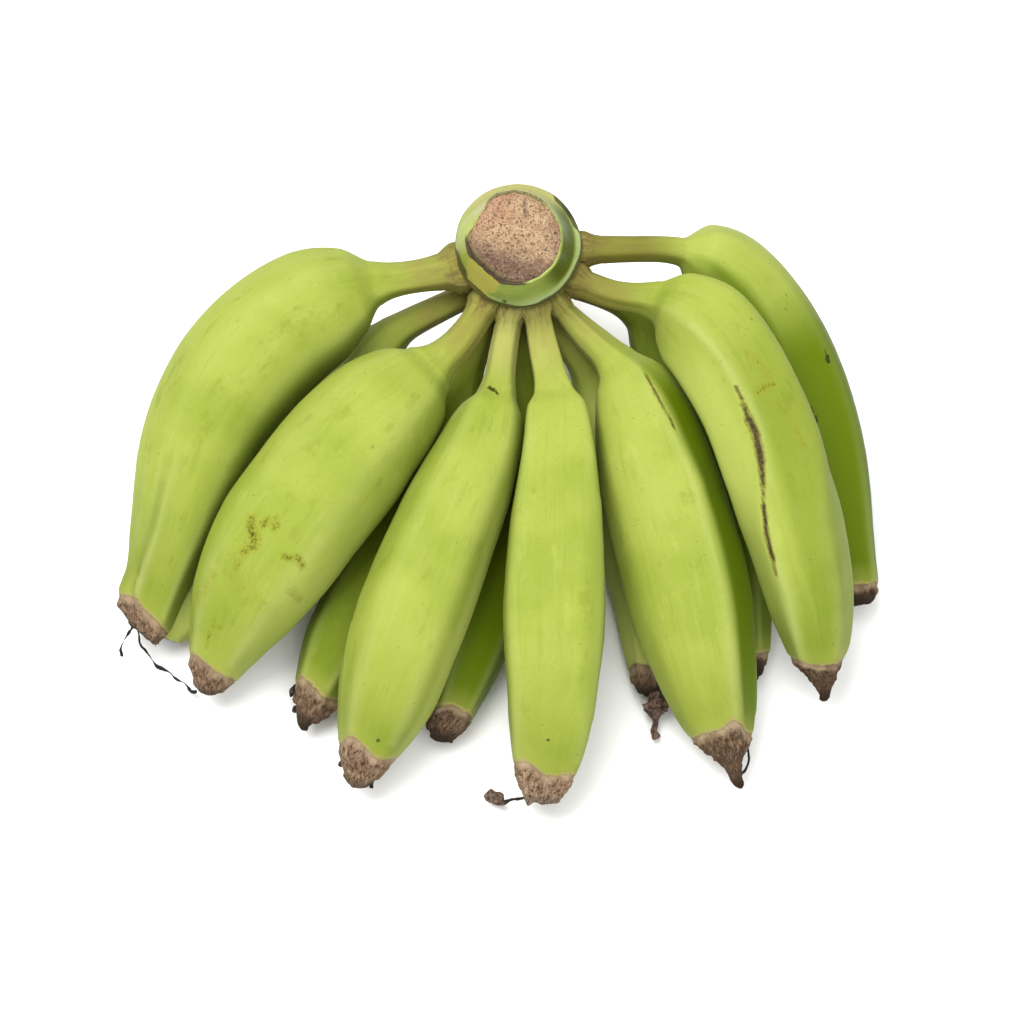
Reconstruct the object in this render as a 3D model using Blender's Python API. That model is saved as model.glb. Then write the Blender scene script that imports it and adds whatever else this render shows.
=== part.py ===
"""A hand of green bananas on a short cut length of stalk.

Seven plump fingers of the front row arch over five smaller fingers of the back
row. All of them leave a crown around the stalk, turn towards the front and
come down to the surface that the hand lies on. The stalk leans forward and
stands on its lower cut; its upper cut face looks up and forward.

World frame: metres, +Z up, +X to the right, the fingertips towards -Y, the
surface at z = 0. The tables below are in millimetres.
"""

import bpy
import bmesh
import numpy as np
from mathutils import Vector

MM = 0.001
# The tables' own zero is moved by this much, so that the origin is under the
# middle of the hand's box.
MIDDLE = np.array([0.5, 5.0, 0.0])

# ---------------------------------------------------------------- stalk
RING = np.array([7.0, 71.5, 76.0])  # centre of the lip that rings the upper cut
LEAN = np.radians(22.0)  # the stalk leans this far towards the fingertips
AXIS = np.array([0.0, -np.sin(LEAN), np.cos(LEAN)])  # up the stalk
ACROSS = np.array([1.0, 0.0, 0.0])
BEHIND = np.array([0.0, np.cos(LEAN), np.sin(LEAN)])
CUT_HEIGHT = 17.0  # from the lip to the upper cut face, along the axis
FACE_OFFSET = -1.4  # the cut face sits a little left of the lip's centre
HEEL_START = -28.0  # below this the stalk bends back,
HEEL = 1.5  # by this much at twice the depth
# height above the lip along the axis, radius
STALK_PROFILE = [
    (-62.0, 13.6),
    (-46.0, 14.3),
    (-35.0, 15.6),
    (-29.0, 17.0),
    (-19.0, 17.4),
    (-15.5, 19.4),
    (-13.5, 20.8),
    (-3.0, 21.1),
    (-1.2, 21.2),
    (0.0, 21.6),
    (1.4, 21.2),
    (4.0, 19.7),
    (7.5, 18.2),
    (11.0, 17.3),
    (16.2, 16.6),
    (CUT_HEIGHT, 16.0),
]
STALK_SIDES = 32
FRONT_ROOTS = (-8.0, 21.7)  # height along the axis, radius from it
BACK_ROOTS = (-24.0, 18.0)

# -------------------------------------------------------------- fingers
# The hand's display side looks this way; each section's width is square to it.
DISPLAY = np.array([0.0, -0.5, 0.866])
SIDES = 14
# Places along a finger: the pedicel's root, middle and neck are 0, 1 and 2;
# past the neck, 2 + f is the fraction f of the body.
WIDTH_PLACES = [0.0, 1.0, 2.0, 2.06, 2.16, 2.35, 2.55, 2.75, 2.9, 2.96, 3.0]
RING_PLACES = [
    0.0, 0.5, 1.0, 1.5, 2.0, 2.03, 2.06, 2.11, 2.16, 2.25,
    2.35, 2.45, 2.55, 2.65, 2.75, 2.83, 2.9, 2.96, 3.0,
]  # fmt: skip
CORNER_SOFTNESS = 5.0  # exponent of the rounded five-sided section
FACES_DEG = (90.0, 160.0, 232.0, 308.0, 20.0)  # where the five flats look

# angle of the root round the crown; the spine's points from the middle of the
# pedicel and the neck to the tip; half widths at WIDTH_PLACES; depth / width of
# the body; turn of the section about the spine in degrees
FINGERS = {
    "finger_front_1": dict(
        row=FRONT_ROOTS, angle=196.4, depth=0.84, turn=8.0,
        spine=[(-28, 65, 67), (-41, 63, 66), (-75, 46, 61), (-98, 18, 49), (-110, -13.4, 34), (-121, -43, 13.6)],
        half=[7.2, 5.5, 7.6, 15.2, 21.0, 22.6, 20.2, 15.0, 10.4, 8.8, 6.2],
    ),
    "finger_front_2": dict(
        row=FRONT_ROOTS, angle=239.0, depth=0.82, turn=-6.0,
        spine=[(-14, 40, 62), (-23, 31, 61), (-47, 5, 58), (-67, -20, 49), (-85, -43, 32), (-97.6, -66.2, 11.6)],
        half=[5.0, 5.7, 10.0, 16.0, 20.6, 23.2, 23.0, 18.6, 11.4, 8.2, 4.2],
    ),
    "finger_front_3": dict(
        row=FRONT_ROOTS, angle=263.7, depth=0.98, turn=0.0,
        spine=[(2, 39, 59), (0, 24, 57), (-12, -12, 51), (-25, -44, 42), (-36, -74, 29), (-45.7, -101, 11.7)],
        half=[4.0, 4.2, 6.5, 11.4, 14.6, 17.4, 18.6, 16.8, 11.2, 8.0, 4.0],
    ),
    "finger_front_4": dict(
        row=FRONT_ROOTS, angle=287.0, depth=1.05, turn=4.0,
        spine=[(16, 39, 59), (19, 24, 57), (20, -13, 51), (19, -47, 42), (18, -78, 29), (15, -106.9, 11.7)],
        half=[3.6, 4.5, 6.2, 10.2, 12.2, 15.2, 16.8, 14.4, 10.8, 8.4, 4.6],
    ),
    "finger_front_5": dict(
        row=FRONT_ROOTS, angle=306.0, depth=0.78, turn=-20.0,
        spine=[(31, 45, 60), (40, 35, 59), (53, 0, 51), (62, -35, 41.5), (70, -68, 28), (80, -99, 10)],
        half=[3.3, 5.2, 7.6, 12.8, 17.0, 20.4, 20.8, 16.0, 9.6, 4.2, 2.0],
    ),
    "finger_front_6": dict(
        row=FRONT_ROOTS, angle=332.4, depth=0.92, turn=-12.0,
        spine=[(41.5, 58.4, 64.8), (54, 55.2, 66.4), (78, 28, 68.5), (93, -9, 61), (103, -40, 43), (110, -69, 15)],
        half=[5.0, 5.1, 6.9, 13.4, 17.4, 17.6, 17.2, 15.2, 10.2, 7.0, 1.8],
    ),
    "finger_front_7": dict(
        row=FRONT_ROOTS, angle=0.7, depth=0.94, turn=10.0,
        spine=[(48, 75, 69), (63, 76, 66), (92, 64, 47), (110, 36, 32), (119, 2, 20), (124, -30, 10)],
        half=[5.2, 4.5, 5.0, 13.0, 16.2, 15.4, 13.6, 11.2, 8.6, 7.8, 5.8],
    ),
    "finger_back_1": dict(
        row=BACK_ROOTS, angle=216.0, depth=0.98, turn=5.0,
        spine=[(-25, 61, 49), (-36, 56, 45), (-52, 39, 28), (-71, 14, 14.6), (-91, -15.5, 12), (-112.5, -43.5, 6.6)],
        half=[4.2, 4.6, 6.2, 9.0, 11.8, 13.9, 13.9, 11.0, 6.9, 5.3, 3.2],
    ),
    "finger_back_2": dict(
        row=BACK_ROOTS, angle=243.0, depth=1.0, turn=-10.0,
        spine=[(-6, 52, 44), (-10, 43, 38), (-21, 17, 24), (-35, -12, 15), (-51, -45, 13.6), (-65, -76, 9)],
        half=[3.8, 4.0, 5.2, 8.0, 11.2, 13.8, 14.4, 13.4, 9.8, 7.4, 3.6],
    ),
    "finger_back_3": dict(
        row=BACK_ROOTS, angle=274.5, depth=1.0, turn=12.0,
        spine=[(8, 52, 44), (8, 45, 38), (6, 17, 24), (0, -15, 14.5), (-9, -50, 13), (-19, -82, 8)],
        half=[3.3, 4.0, 5.2, 8.0, 11.2, 13.8, 14.4, 12.6, 9.0, 7.0, 3.6],
    ),
    "finger_back_4": dict(
        row=BACK_ROOTS, angle=298.0, depth=1.0, turn=0.0,
        spine=[(24, 52, 44), (30, 45, 38), (40, 21, 23), (47.4, -6, 13.6), (51.6, -36, 11.5), (51, -65, 8)],
        half=[3.3, 4.0, 5.2, 8.0, 11.2, 13.8, 13.6, 11.0, 7.4, 5.8, 3.4],
    ),
    "finger_back_5": dict(
        row=BACK_ROOTS, angle=333.0, depth=0.98, turn=-8.0,
        spine=[(35.5, 71, 46.5), (48, 67, 41), (61.5, 41, 28), (78, 10, 14.0), (84, -28, 11.6), (88, -58, 8)],
        half=[4.0, 4.1, 5.2, 7.8, 10.6, 13.2, 13.8, 11.6, 8.0, 6.0, 3.0],
    ),
}  # fmt: skip

# ---------------------------------------------- dried remains of flowers
# points along each one, in millimetres, with the radius there
REMAINS = {
    "dried_thread_a": [(-127, -43, 6.5, 0.6), (-126, -47, 5, 0.5), (-128, -50, 3.5, 0.6), (-129, -54, 2, 0.5)],
    "dried_thread_b": [(-122, -51, 5.5, 0.6), (-119, -54, 4.4, 0.5), (-115, -56, 3.4, 0.6), (-112, -58, 2.5, 0.5), (-106, -61, 1.6, 0.7)],
    "dried_style": [(9, -110, 8.6, 0.5), (5, -108, 7, 0.5), (1, -106, 5.5, 0.8), (-1, -104, 4.4, 1.9), (-3, -102, 3.4, 1.5)],
    "dried_loop": [(85, -91, 11, 0.6), (86, -94, 9, 0.5), (85, -97, 7, 0.5), (82, -98, 5.4, 0.5)],
    "dried_flower": [(52, -67.5, 7, 2.2), (54, -70.5, 6.2, 3.2), (56, -74, 5.4, 1.8), (54, -78, 4.2, 1.0), (54, -81, 3.2, 1.4), (55.5, -83, 2.8, 1.6)],
}  # fmt: skip

# --------------------------------------------------------------- colours
SKIN_FRONT = (0.50, 0.62, 0.12)
SKIN_BACK = (0.36, 0.50, 0.08)
STALK_GREEN = (0.38, 0.50, 0.12)
DRIED_BROWN = (0.17, 0.10, 0.05)


def cubic(knots, values):
    """The smooth curve through the values: continuous in direction and bend."""
    knots, values = np.asarray(knots, float), np.asarray(values, float)
    count, steps = len(knots), np.diff(knots)
    matrix, right = np.eye(count), np.zeros_like(values)
    for i in range(1, count - 1):
        matrix[i, i - 1 : i + 2] = steps[i - 1], 2 * (steps[i - 1] + steps[i]), steps[i]
        right[i] = 6 * (
            (values[i + 1] - values[i]) / steps[i]
            - (values[i] - values[i - 1]) / steps[i - 1]
        )
    bends = np.linalg.solve(matrix, right)

    def at(place):
        i = int(np.clip(np.searchsorted(knots, place, side="right") - 1, 0, count - 2))
        h, a, b = steps[i], knots[i + 1] - place, place - knots[i]
        return (
            (bends[i] * a**3 + bends[i + 1] * b**3) / (6 * h)
            + (values[i] / h - bends[i] * h / 6) * a
            + (values[i + 1] / h - bends[i + 1] * h / 6) * b
        )

    return at


def steady(knots, values):
    """A smooth curve through the values that never swings past them."""
    x, y = np.asarray(knots, float), np.asarray(values, float)
    h, d = np.diff(x), np.diff(y) / np.diff(x)
    slope = np.zeros_like(y)
    slope[0], slope[-1] = d[0], d[-1]
    for i in range(1, len(x) - 1):
        if d[i - 1] * d[i] > 0:
            a, b = 2 * h[i] + h[i - 1], h[i] + 2 * h[i - 1]
            slope[i] = (a + b) / (a / d[i - 1] + b / d[i])

    def at(place):
        i = int(np.clip(np.searchsorted(x, place, side="right") - 1, 0, len(x) - 2))
        t = (place - x[i]) / h[i]
        return (
            y[i] * (1 + 2 * t) * (1 - t) ** 2
            + slope[i] * h[i] * t * (1 - t) ** 2
            + y[i + 1] * t * t * (3 - 2 * t)
            + slope[i + 1] * h[i] * t * t * (t - 1)
        )

    return at


def rounded_section(sides, turn, softness):
    """A five-sided outline with soft corners, scaled to reach 1 each way."""

    def radius(angle):
        flats = np.radians(np.array(FACES_DEG) + turn)
        reach = np.maximum(np.cos(angle[:, None] - flats[None, :]), 0.0)
        return (reach**softness).sum(axis=1) ** (-1.0 / softness)

    fine = np.linspace(0, 2 * np.pi, 360, endpoint=False)
    outline = radius(fine)[:, None] * np.stack([np.cos(fine), np.sin(fine)], axis=1)
    low, high = outline.min(axis=0), outline.max(axis=0)
    angle = np.linspace(0, 2 * np.pi, sides, endpoint=False)
    points = radius(angle)[:, None] * np.stack([np.cos(angle), np.sin(angle)], axis=1)
    return (points - (low + high) / 2) / ((high - low) / 2)


def crown_point(height, radius, degrees):
    """A point round the stalk, at a height above the lip along its axis."""
    angle = np.radians(degrees)
    return RING + height * AXIS + radius * (np.cos(angle) * ACROSS + np.sin(angle) * BEHIND)


def finger_rings(finger):
    """The rings of one finger, in millimetres, from its root to its tip."""
    height, radius = finger["row"]
    spine = np.array([crown_point(height, radius, finger["angle"])] + list(finger["spine"]), float)
    reach = np.concatenate([[0.0], np.cumsum(np.linalg.norm(np.diff(spine, axis=0), axis=1))])
    curve = cubic(reach, spine)
    half = steady(WIDTH_PLACES, finger["half"])

    def distance(place):
        if place <= 2:
            return float(np.interp(place, [0, 1, 2], reach[:3]))
        return reach[2] + (place - 2) * (reach[-1] - reach[2])

    rings = []
    for place in RING_PLACES:
        where = distance(place)
        along = curve(where + 0.05) - curve(where - 0.05)
        if place == 0:  # the root's end is square to the crown
            along = spine[0] - RING - height * AXIS
        along /= np.linalg.norm(along)
        up = DISPLAY - DISPLAY.dot(along) * along
        up /= np.linalg.norm(up)
        side = np.cross(along, up)
        width = half(place)
        flatten = np.interp(place, [1.5, 2.1, 2.85, 3.0], [1.0, finger["depth"], finger["depth"], 1.0])
        outline = rounded_section(SIDES, finger["turn"], CORNER_SOFTNESS)
        rings.append(
            curve(where)
            + width * outline[:, :1] * side
            + width * flatten * outline[:, 1:] * up
        )
    return rings


def stalk_rings():
    """The rings of the stalk, from its foot, cut level with the surface, to its cut face."""
    angles = np.linspace(0, 2 * np.pi, STALK_SIDES, endpoint=False)
    round_ = np.cos(angles)[:, None] * ACROSS + np.sin(angles)[:, None] * BEHIND
    rings = []
    for height, radius in STALK_PROFILE:
        shift = FACE_OFFSET * max(height, 0.0) / CUT_HEIGHT * ACROSS
        shift = shift + HEEL * (min(height - HEEL_START, 0.0) / HEEL_START) ** 2 * BEHIND
        rings.append(RING + height * AXIS + shift + radius * round_)
    down = rings[0] - rings[1]
    foot = rings[0] - (rings[0][:, 2] / down[:, 2])[:, None] * down
    return [foot] + rings


FLOOR = np.array([-np.inf, -np.inf, 0.0])  # skin that presses on the surface is flat there


def loft(name, rings):
    """One closed body through rings of equal counts, flat at both ends."""
    work = bmesh.new()
    rows = [
        [work.verts.new(Vector(point) * MM) for point in np.maximum(ring - MIDDLE, FLOOR)]
        for ring in rings
    ]
    for low, high in zip(rows, rows[1:]):
        for i in range(len(low)):
            j = (i + 1) % len(low)
            work.faces.new((low[i], low[j], high[j], high[i]))
    work.faces.new(rows[0][::-1])
    work.faces.new(rows[-1])
    bmesh.ops.recalc_face_normals(work, faces=work.faces)
    mesh = bpy.data.meshes.new(name)
    work.to_mesh(mesh)
    work.free()
    mesh.shade_smooth()
    mesh.set_sharp_from_angle(angle=np.radians(50))
    return mesh


def material(name, colour, roughness):
    made = bpy.data.materials.new(name)
    made.use_nodes = True
    shader = made.node_tree.nodes["Principled BSDF"]
    shader.inputs["Base Color"].default_value = (*colour, 1.0)
    shader.inputs["Roughness"].default_value = roughness
    shader.inputs["Metallic"].default_value = 0.0
    return made


def place(collection, parent, name, data, colour, roughness):
    made = bpy.data.objects.new(name, data)
    data.materials.append(material(name + "_surface", colour, roughness))
    collection.objects.link(made)
    made.parent = parent
    return made


def remain(name, points):
    """A dried remnant: a thin tube through its points, with a radius at each."""
    points = np.array(points, float)
    reach = np.concatenate([[0.0], np.cumsum(np.linalg.norm(np.diff(points[:, :3], axis=0), axis=1))])
    way, thick = cubic(reach, points[:, :3]), steady(reach, points[:, 3])
    count = 2 * len(points) - 1
    data = bpy.data.curves.new(name, "CURVE")
    data.dimensions = "3D"
    data.bevel_depth = MM
    data.bevel_resolution = 1
    data.use_fill_caps = True
    strand = data.splines.new("POLY")
    strand.points.add(count - 1)
    for point, where in zip(strand.points, np.linspace(0, reach[-1], count)):
        point.co = (*((way(where) - MIDDLE) * MM), 1.0)
        point.radius = float(thick(where))
    return data


def build():
    for old in list(bpy.data.objects):
        bpy.data.objects.remove(old, do_unlink=True)
    collection = bpy.data.collections.new("green_banana_hand")
    bpy.context.scene.collection.children.link(collection)
    crown = bpy.data.objects.new("crown", None)
    collection.objects.link(crown)
    place(collection, crown, "stalk", loft("stalk", stalk_rings()), STALK_GREEN, 0.6)
    for name, finger in FINGERS.items():
        colour = SKIN_FRONT if "front" in name else SKIN_BACK
        place(collection, crown, name, loft(name, finger_rings(finger)), colour, 0.45)
    for name, points in REMAINS.items():
        place(collection, crown, name, remain(name, points), DRIED_BROWN, 0.9)


build()
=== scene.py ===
import bpy
import numpy as np
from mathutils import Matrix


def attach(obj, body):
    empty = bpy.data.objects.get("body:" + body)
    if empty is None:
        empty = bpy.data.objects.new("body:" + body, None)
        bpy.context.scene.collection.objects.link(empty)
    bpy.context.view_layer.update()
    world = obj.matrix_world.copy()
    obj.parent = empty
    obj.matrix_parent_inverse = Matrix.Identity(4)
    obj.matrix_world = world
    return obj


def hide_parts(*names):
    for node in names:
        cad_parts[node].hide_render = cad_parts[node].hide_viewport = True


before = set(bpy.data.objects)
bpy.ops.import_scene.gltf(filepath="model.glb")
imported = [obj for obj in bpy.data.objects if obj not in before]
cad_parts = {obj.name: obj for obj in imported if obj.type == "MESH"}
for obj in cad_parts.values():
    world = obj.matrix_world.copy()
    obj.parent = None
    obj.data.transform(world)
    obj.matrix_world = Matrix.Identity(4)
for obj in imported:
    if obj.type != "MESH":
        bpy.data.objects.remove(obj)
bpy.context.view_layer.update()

# ------------------------------------------------------------------ shapes
# The tables are those of the CAD, in millimetres, with a finer surface on top.
MM = 0.001
MIDDLE = np.array([0.5, 5.0, 0.0])
RING = np.array([7.0, 71.5, 76.0])  # centre of the lip round the upper cut
LEAN = np.radians(22.0)
AXIS = np.array([0.0, -np.sin(LEAN), np.cos(LEAN)])
ACROSS = np.array([1.0, 0.0, 0.0])
BEHIND = np.array([0.0, np.cos(LEAN), np.sin(LEAN)])
CUT_HEIGHT = 17.0
FACE_OFFSET = -1.4
FACE_DROP = -1.3
HEEL_START = -28.0
HEEL = 1.5
FRONT_ROOTS = (-8.0, 21.7)
BACK_ROOTS = (-24.0, 18.0)
DISPLAY = np.array([0.0, -0.5, 0.866])
WIDTH_PLACES = [0.0, 1.0, 2.0, 2.06, 2.16, 2.35, 2.55, 2.75, 2.9, 2.96, 3.0]
FACES_DEG = (90.0, 160.0, 232.0, 308.0, 20.0)
CORNERS_DEG = (55.0, 125.0, 196.0, 270.0, 344.0)

# Beyond the CAD's own numbers each finger has:
# crisp   exponent of its five-sided section: higher is more angular
# slant   how the end is cut askew, across and along the display direction
# cork    millimetres of corky skin at the end where CORK_EDGES says nothing, and how its edge slopes
# nib     length of the dried nib past the end, its drift, and its bluntness
FINGERS = {
    "finger_front_1": dict(
        row=FRONT_ROOTS, angle=196.4, depth=0.84, turn=8.0,
        spine=[(-28, 65, 67), (-41, 63, 66), (-75, 46, 61), (-98, 18, 49), (-110, -13.4, 34), (-121, -43, 13.6)],
        half=[7.2, 5.6, 7.6, 15.2, 21.0, 22.6, 20.2, 15.0, 10.6, 9.4, 7.0],
        crisp=5.0, slant=(-0.55, 0.0), cork=(5.5, 0.0, 0.0), nib=(2.6, -1.0, 0.0, 0.6),
    ),
    "finger_front_2": dict(
        row=FRONT_ROOTS, angle=239.0, depth=0.82, turn=-6.0,
        spine=[(-14, 40, 62), (-23, 31, 61), (-47, 5, 58), (-67, -20, 49), (-85, -43, 32), (-97.6, -66.2, 11.6)],
        half=[5.0, 5.7, 10.0, 16.0, 20.6, 23.2, 23.0, 18.6, 11.2, 7.6, 3.4],
        crisp=4.6, slant=(0.14, 0.0), cork=(8.0, 0.0, 0.0), nib=(0.8, -0.4, 0.0, 0.5),
    ),
    "finger_front_3": dict(
        row=FRONT_ROOTS, angle=263.7, depth=0.98, turn=0.0,
        spine=[(2, 39, 59), (0, 24, 57), (-12, -12, 51), (-25, -44, 42), (-36, -74, 29), (-45.7, -101, 11.7)],
        half=[4.4, 4.9, 6.8, 11.4, 14.6, 17.4, 18.6, 16.8, 11.0, 7.4, 3.4],
        crisp=5.0, slant=(0.18, 0.0), cork=(8.0, 0.0, 0.0), nib=(1.0, 0.0, 0.0, 0.5),
    ),
    "finger_front_4": dict(
        row=FRONT_ROOTS, angle=287.0, depth=1.05, turn=4.0,
        spine=[(16, 39, 59), (19, 24, 57), (20, -13, 51), (19, -47, 42), (18, -78, 29), (15, -106.9, 11.7)],
        half=[4.2, 5.1, 6.6, 10.2, 12.2, 15.2, 16.8, 14.6, 11.0, 8.2, 5.2],
        crisp=6.0, slant=(0.1, 0.0), cork=(7.0, 0.0, 0.0), nib=(0.4, 0.0, 0.0, 0.5),
    ),
    "finger_front_5": dict(
        row=FRONT_ROOTS, angle=306.0, depth=0.78, turn=-20.0,
        spine=[(31, 45, 60), (40, 35, 59), (53, 0, 51), (62, -35, 41.5), (70, -68, 28), (80, -99, 10)],
        half=[3.3, 5.2, 7.6, 12.8, 17.0, 20.4, 20.8, 16.6, 9.8, 3.5, 1.9],
        crisp=13.0, slant=(0.0, 0.0), cork=(15.0, 0.0, 0.0), nib=(2.6, -0.2, 0.0, 0.6),
    ),
    "finger_front_6": dict(
        row=FRONT_ROOTS, angle=332.4, depth=0.92, turn=-12.0,
        spine=[(41.5, 58.4, 64.8), (54, 55.2, 66.4), (78, 28, 68.5), (93, -9, 61), (103, -40, 43), (110, -69, 15)],
        half=[5.0, 5.1, 6.9, 13.4, 17.4, 17.6, 17.2, 15.2, 10.2, 5.2, 2.1],
        crisp=7.0, slant=(0.0, 0.0), cork=(7.0, 0.0, 0.0), nib=(2.6, 0.15, 0.0, 0.4),
    ),
    "finger_front_7": dict(
        row=FRONT_ROOTS, angle=0.7, depth=0.94, turn=10.0,
        spine=[(48, 75, 69), (63, 76, 66), (92, 64, 47), (110, 36, 32), (119, 2, 20), (124, -30, 10)],
        half=[5.2, 4.5, 5.0, 13.0, 16.2, 15.4, 13.6, 11.2, 8.6, 7.8, 5.8],
        crisp=5.0, slant=(0.0, 0.0), cork=(4.5, 0.0, 0.0), nib=(2.2, 0.5, 0.0, 0.5),
    ),
    "finger_back_1": dict(
        row=BACK_ROOTS, angle=216.0, depth=0.98, turn=5.0,
        spine=[(-25, 61, 49), (-36, 56, 45), (-52, 39, 28), (-71, 14, 14.6), (-91, -15.5, 12), (-112.5, -43.5, 6.6)],
        half=[4.4, 5.0, 6.6, 9.2, 11.8, 14.0, 14.2, 11.8, 8.2, 6.6, 4.2],
        crisp=5.0, slant=(0.35, 0.0), cork=(4.0, 0.0, 0.0), nib=(0.6, 0.0, 0.0, 0.5),
    ),
    "finger_back_2": dict(
        row=BACK_ROOTS, angle=243.0, depth=1.0, turn=-10.0,
        spine=[(-6, 52, 44), (-10, 43, 38), (-21, 17, 24), (-35, -12, 15), (-51, -45, 13.6), (-65, -76, 9)],
        half=[3.8, 4.0, 5.2, 8.0, 11.2, 13.8, 14.4, 13.4, 9.6, 6.8, 2.8],
        crisp=5.0, slant=(-0.2, 0.0), cork=(7.5, 0.0, 0.0), nib=(3.4, -0.2, 0.0, 0.6),
    ),
    "finger_back_3": dict(
        row=BACK_ROOTS, angle=274.5, depth=1.0, turn=12.0,
        spine=[(8, 52, 44), (8, 45, 38), (6, 17, 24), (0, -15, 14.5), (-9, -50, 13), (-19, -82, 8)],
        half=[3.3, 4.0, 5.2, 8.0, 11.2, 13.8, 14.4, 12.6, 9.0, 7.0, 3.6],
        crisp=5.0, slant=(0.1, 0.0), cork=(7.0, 0.0, 0.0), nib=(1.2, 0.4, 0.0, 0.5),
    ),
    "finger_back_4": dict(
        row=BACK_ROOTS, angle=298.0, depth=1.0, turn=0.0,
        spine=[(24, 52, 44), (30, 45, 38), (40, 21, 23), (47.4, -6, 13.6), (51.6, -36, 11.5), (51, -65, 8)],
        half=[3.3, 4.0, 5.2, 8.0, 11.2, 13.8, 13.6, 11.0, 7.4, 5.8, 3.4],
        crisp=5.0, slant=(0.0, 0.0), cork=(8.0, 0.0, 0.0), nib=(0.4, 0.0, 0.0, 0.5),
    ),
    "finger_back_5": dict(
        row=BACK_ROOTS, angle=333.0, depth=0.98, turn=-8.0,
        spine=[(35.5, 71, 46.5), (48, 67, 41), (61.5, 41, 28), (78, 10, 14.0), (84, -28, 11.6), (88, -58, 8)],
        half=[4.0, 4.1, 5.2, 7.8, 10.6, 13.2, 13.8, 11.6, 7.4, 5.0, 2.4],
        crisp=5.0, slant=(0.0, 0.0), cork=(6.5, 0.0, 0.0), nib=(0.8, 0.0, 0.0, 0.6),
    ),
}  # fmt: skip


def cubic(knots, values):
    """The smooth curve through the values, at many places at once."""
    knots, values = np.asarray(knots, float), np.asarray(values, float)
    count, steps = len(knots), np.diff(knots)
    matrix, right = np.eye(count), np.zeros_like(values)
    for i in range(1, count - 1):
        matrix[i, i - 1 : i + 2] = steps[i - 1], 2 * (steps[i - 1] + steps[i]), steps[i]
        right[i] = 6 * (
            (values[i + 1] - values[i]) / steps[i]
            - (values[i] - values[i - 1]) / steps[i - 1]
        )
    bends = np.linalg.solve(matrix, right)

    def at(places):
        places = np.atleast_1d(np.asarray(places, float))
        i = np.clip(np.searchsorted(knots, places, side="right") - 1, 0, count - 2)
        h = steps[i][:, None]
        a, b = (knots[i + 1] - places)[:, None], (places - knots[i])[:, None]
        return (
            (bends[i] * a**3 + bends[i + 1] * b**3) / (6 * h)
            + (values[i] / h - bends[i] * h / 6) * a
            + (values[i + 1] / h - bends[i + 1] * h / 6) * b
        )

    return at


def steady(knots, values):
    """A smooth curve through the values that never swings past them."""
    x, y = np.asarray(knots, float), np.asarray(values, float)
    h, d = np.diff(x), np.diff(y) / np.diff(x)
    slope = np.zeros_like(y)
    slope[0], slope[-1] = d[0], d[-1]
    for i in range(1, len(x) - 1):
        if d[i - 1] * d[i] > 0:
            a, b = 2 * h[i] + h[i - 1], h[i] + 2 * h[i - 1]
            slope[i] = (a + b) / (a / d[i - 1] + b / d[i])

    def at(places):
        places = np.clip(np.asarray(places, float), x[0], x[-1])
        i = np.clip(np.searchsorted(x, places, side="right") - 1, 0, len(x) - 2)
        t = (places - x[i]) / h[i]
        return (
            y[i] * (1 + 2 * t) * (1 - t) ** 2
            + slope[i] * h[i] * t * (1 - t) ** 2
            + y[i + 1] * t * t * (3 - 2 * t)
            + slope[i + 1] * h[i] * t * t * (t - 1)
        )

    return at


def soft(x, low, high):
    """0 below low, 1 above high, and smooth between."""
    t = np.clip((np.asarray(x, float) - low) / (high - low), 0.0, 1.0)
    return t * t * (3 - 2 * t)


def noise(points, seed=0):
    """Smooth random values from -1 to 1, with knots one unit apart."""
    points = np.asarray(points, float)
    cell = np.floor(points).astype(np.int64)
    f = points - cell
    f = f * f * f * (f * (f * 6 - 15) + 10)
    total = np.zeros(points.shape[:-1])
    for dx in (0, 1):
        for dy in (0, 1):
            for dz in (0, 1):
                key = (
                    (cell[..., 0] + dx) * 73856093
                    ^ (cell[..., 1] + dy) * 19349663
                    ^ (cell[..., 2] + dz) * 83492791
                    ^ (seed + 11) * 2654435761
                ) & 0xFFFFFFFF
                key = ((key ^ (key >> 15)) * 2246822519) & 0xFFFFFFFF
                key = ((key ^ (key >> 13)) * 3266489917) & 0xFFFFFFFF
                value = ((key ^ (key >> 16)) & 0xFFFF) / 32767.5 - 1.0
                weight = (
                    (f[..., 0] if dx else 1 - f[..., 0])
                    * (f[..., 1] if dy else 1 - f[..., 1])
                    * (f[..., 2] if dz else 1 - f[..., 2])
                )
                total += value * weight
    return total


def layers(points, seed=0, count=3, gain=0.5):
    """Several sizes of noise together, still about -1 to 1."""
    total, size, whole = 0.0, 1.0, 0.0
    for i in range(count):
        total = total + size * noise(np.asarray(points) * 2.0**i, seed + 7 * i)
        whole += size
        size *= gain
    return total / whole


def crown_point(height, radius, degrees):
    angle = np.radians(degrees)
    return RING + height * AXIS + radius * (np.cos(angle) * ACROSS + np.sin(angle) * BEHIND)


def unit(v):
    return v / np.linalg.norm(v, axis=-1, keepdims=True)


def section(angles, turn, crisp, faces):
    """Five-sided outlines with soft corners, one for each turn and crispness, that reach 1 each way."""
    flats = np.radians(np.array(faces)[None, :] + np.asarray(turn)[:, None])

    def radius(a, p):
        reach = np.maximum(np.cos(a[None, :, None] - flats[:, None, :]), 1e-9)
        return (reach ** p[:, None, None]).sum(axis=2) ** (-1.0 / p[:, None])

    fine = np.linspace(0, 2 * np.pi, 180, endpoint=False)
    r = radius(fine, crisp)
    outline = r[..., None] * np.stack([np.cos(fine), np.sin(fine)], axis=1)[None]
    low, high = outline.min(axis=1, keepdims=True), outline.max(axis=1, keepdims=True)
    r = radius(angles, crisp)
    points = r[..., None] * np.stack([np.cos(angles), np.sin(angles)], axis=1)[None]
    return (points - (low + high) / 2) / ((high - low) / 2)


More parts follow.
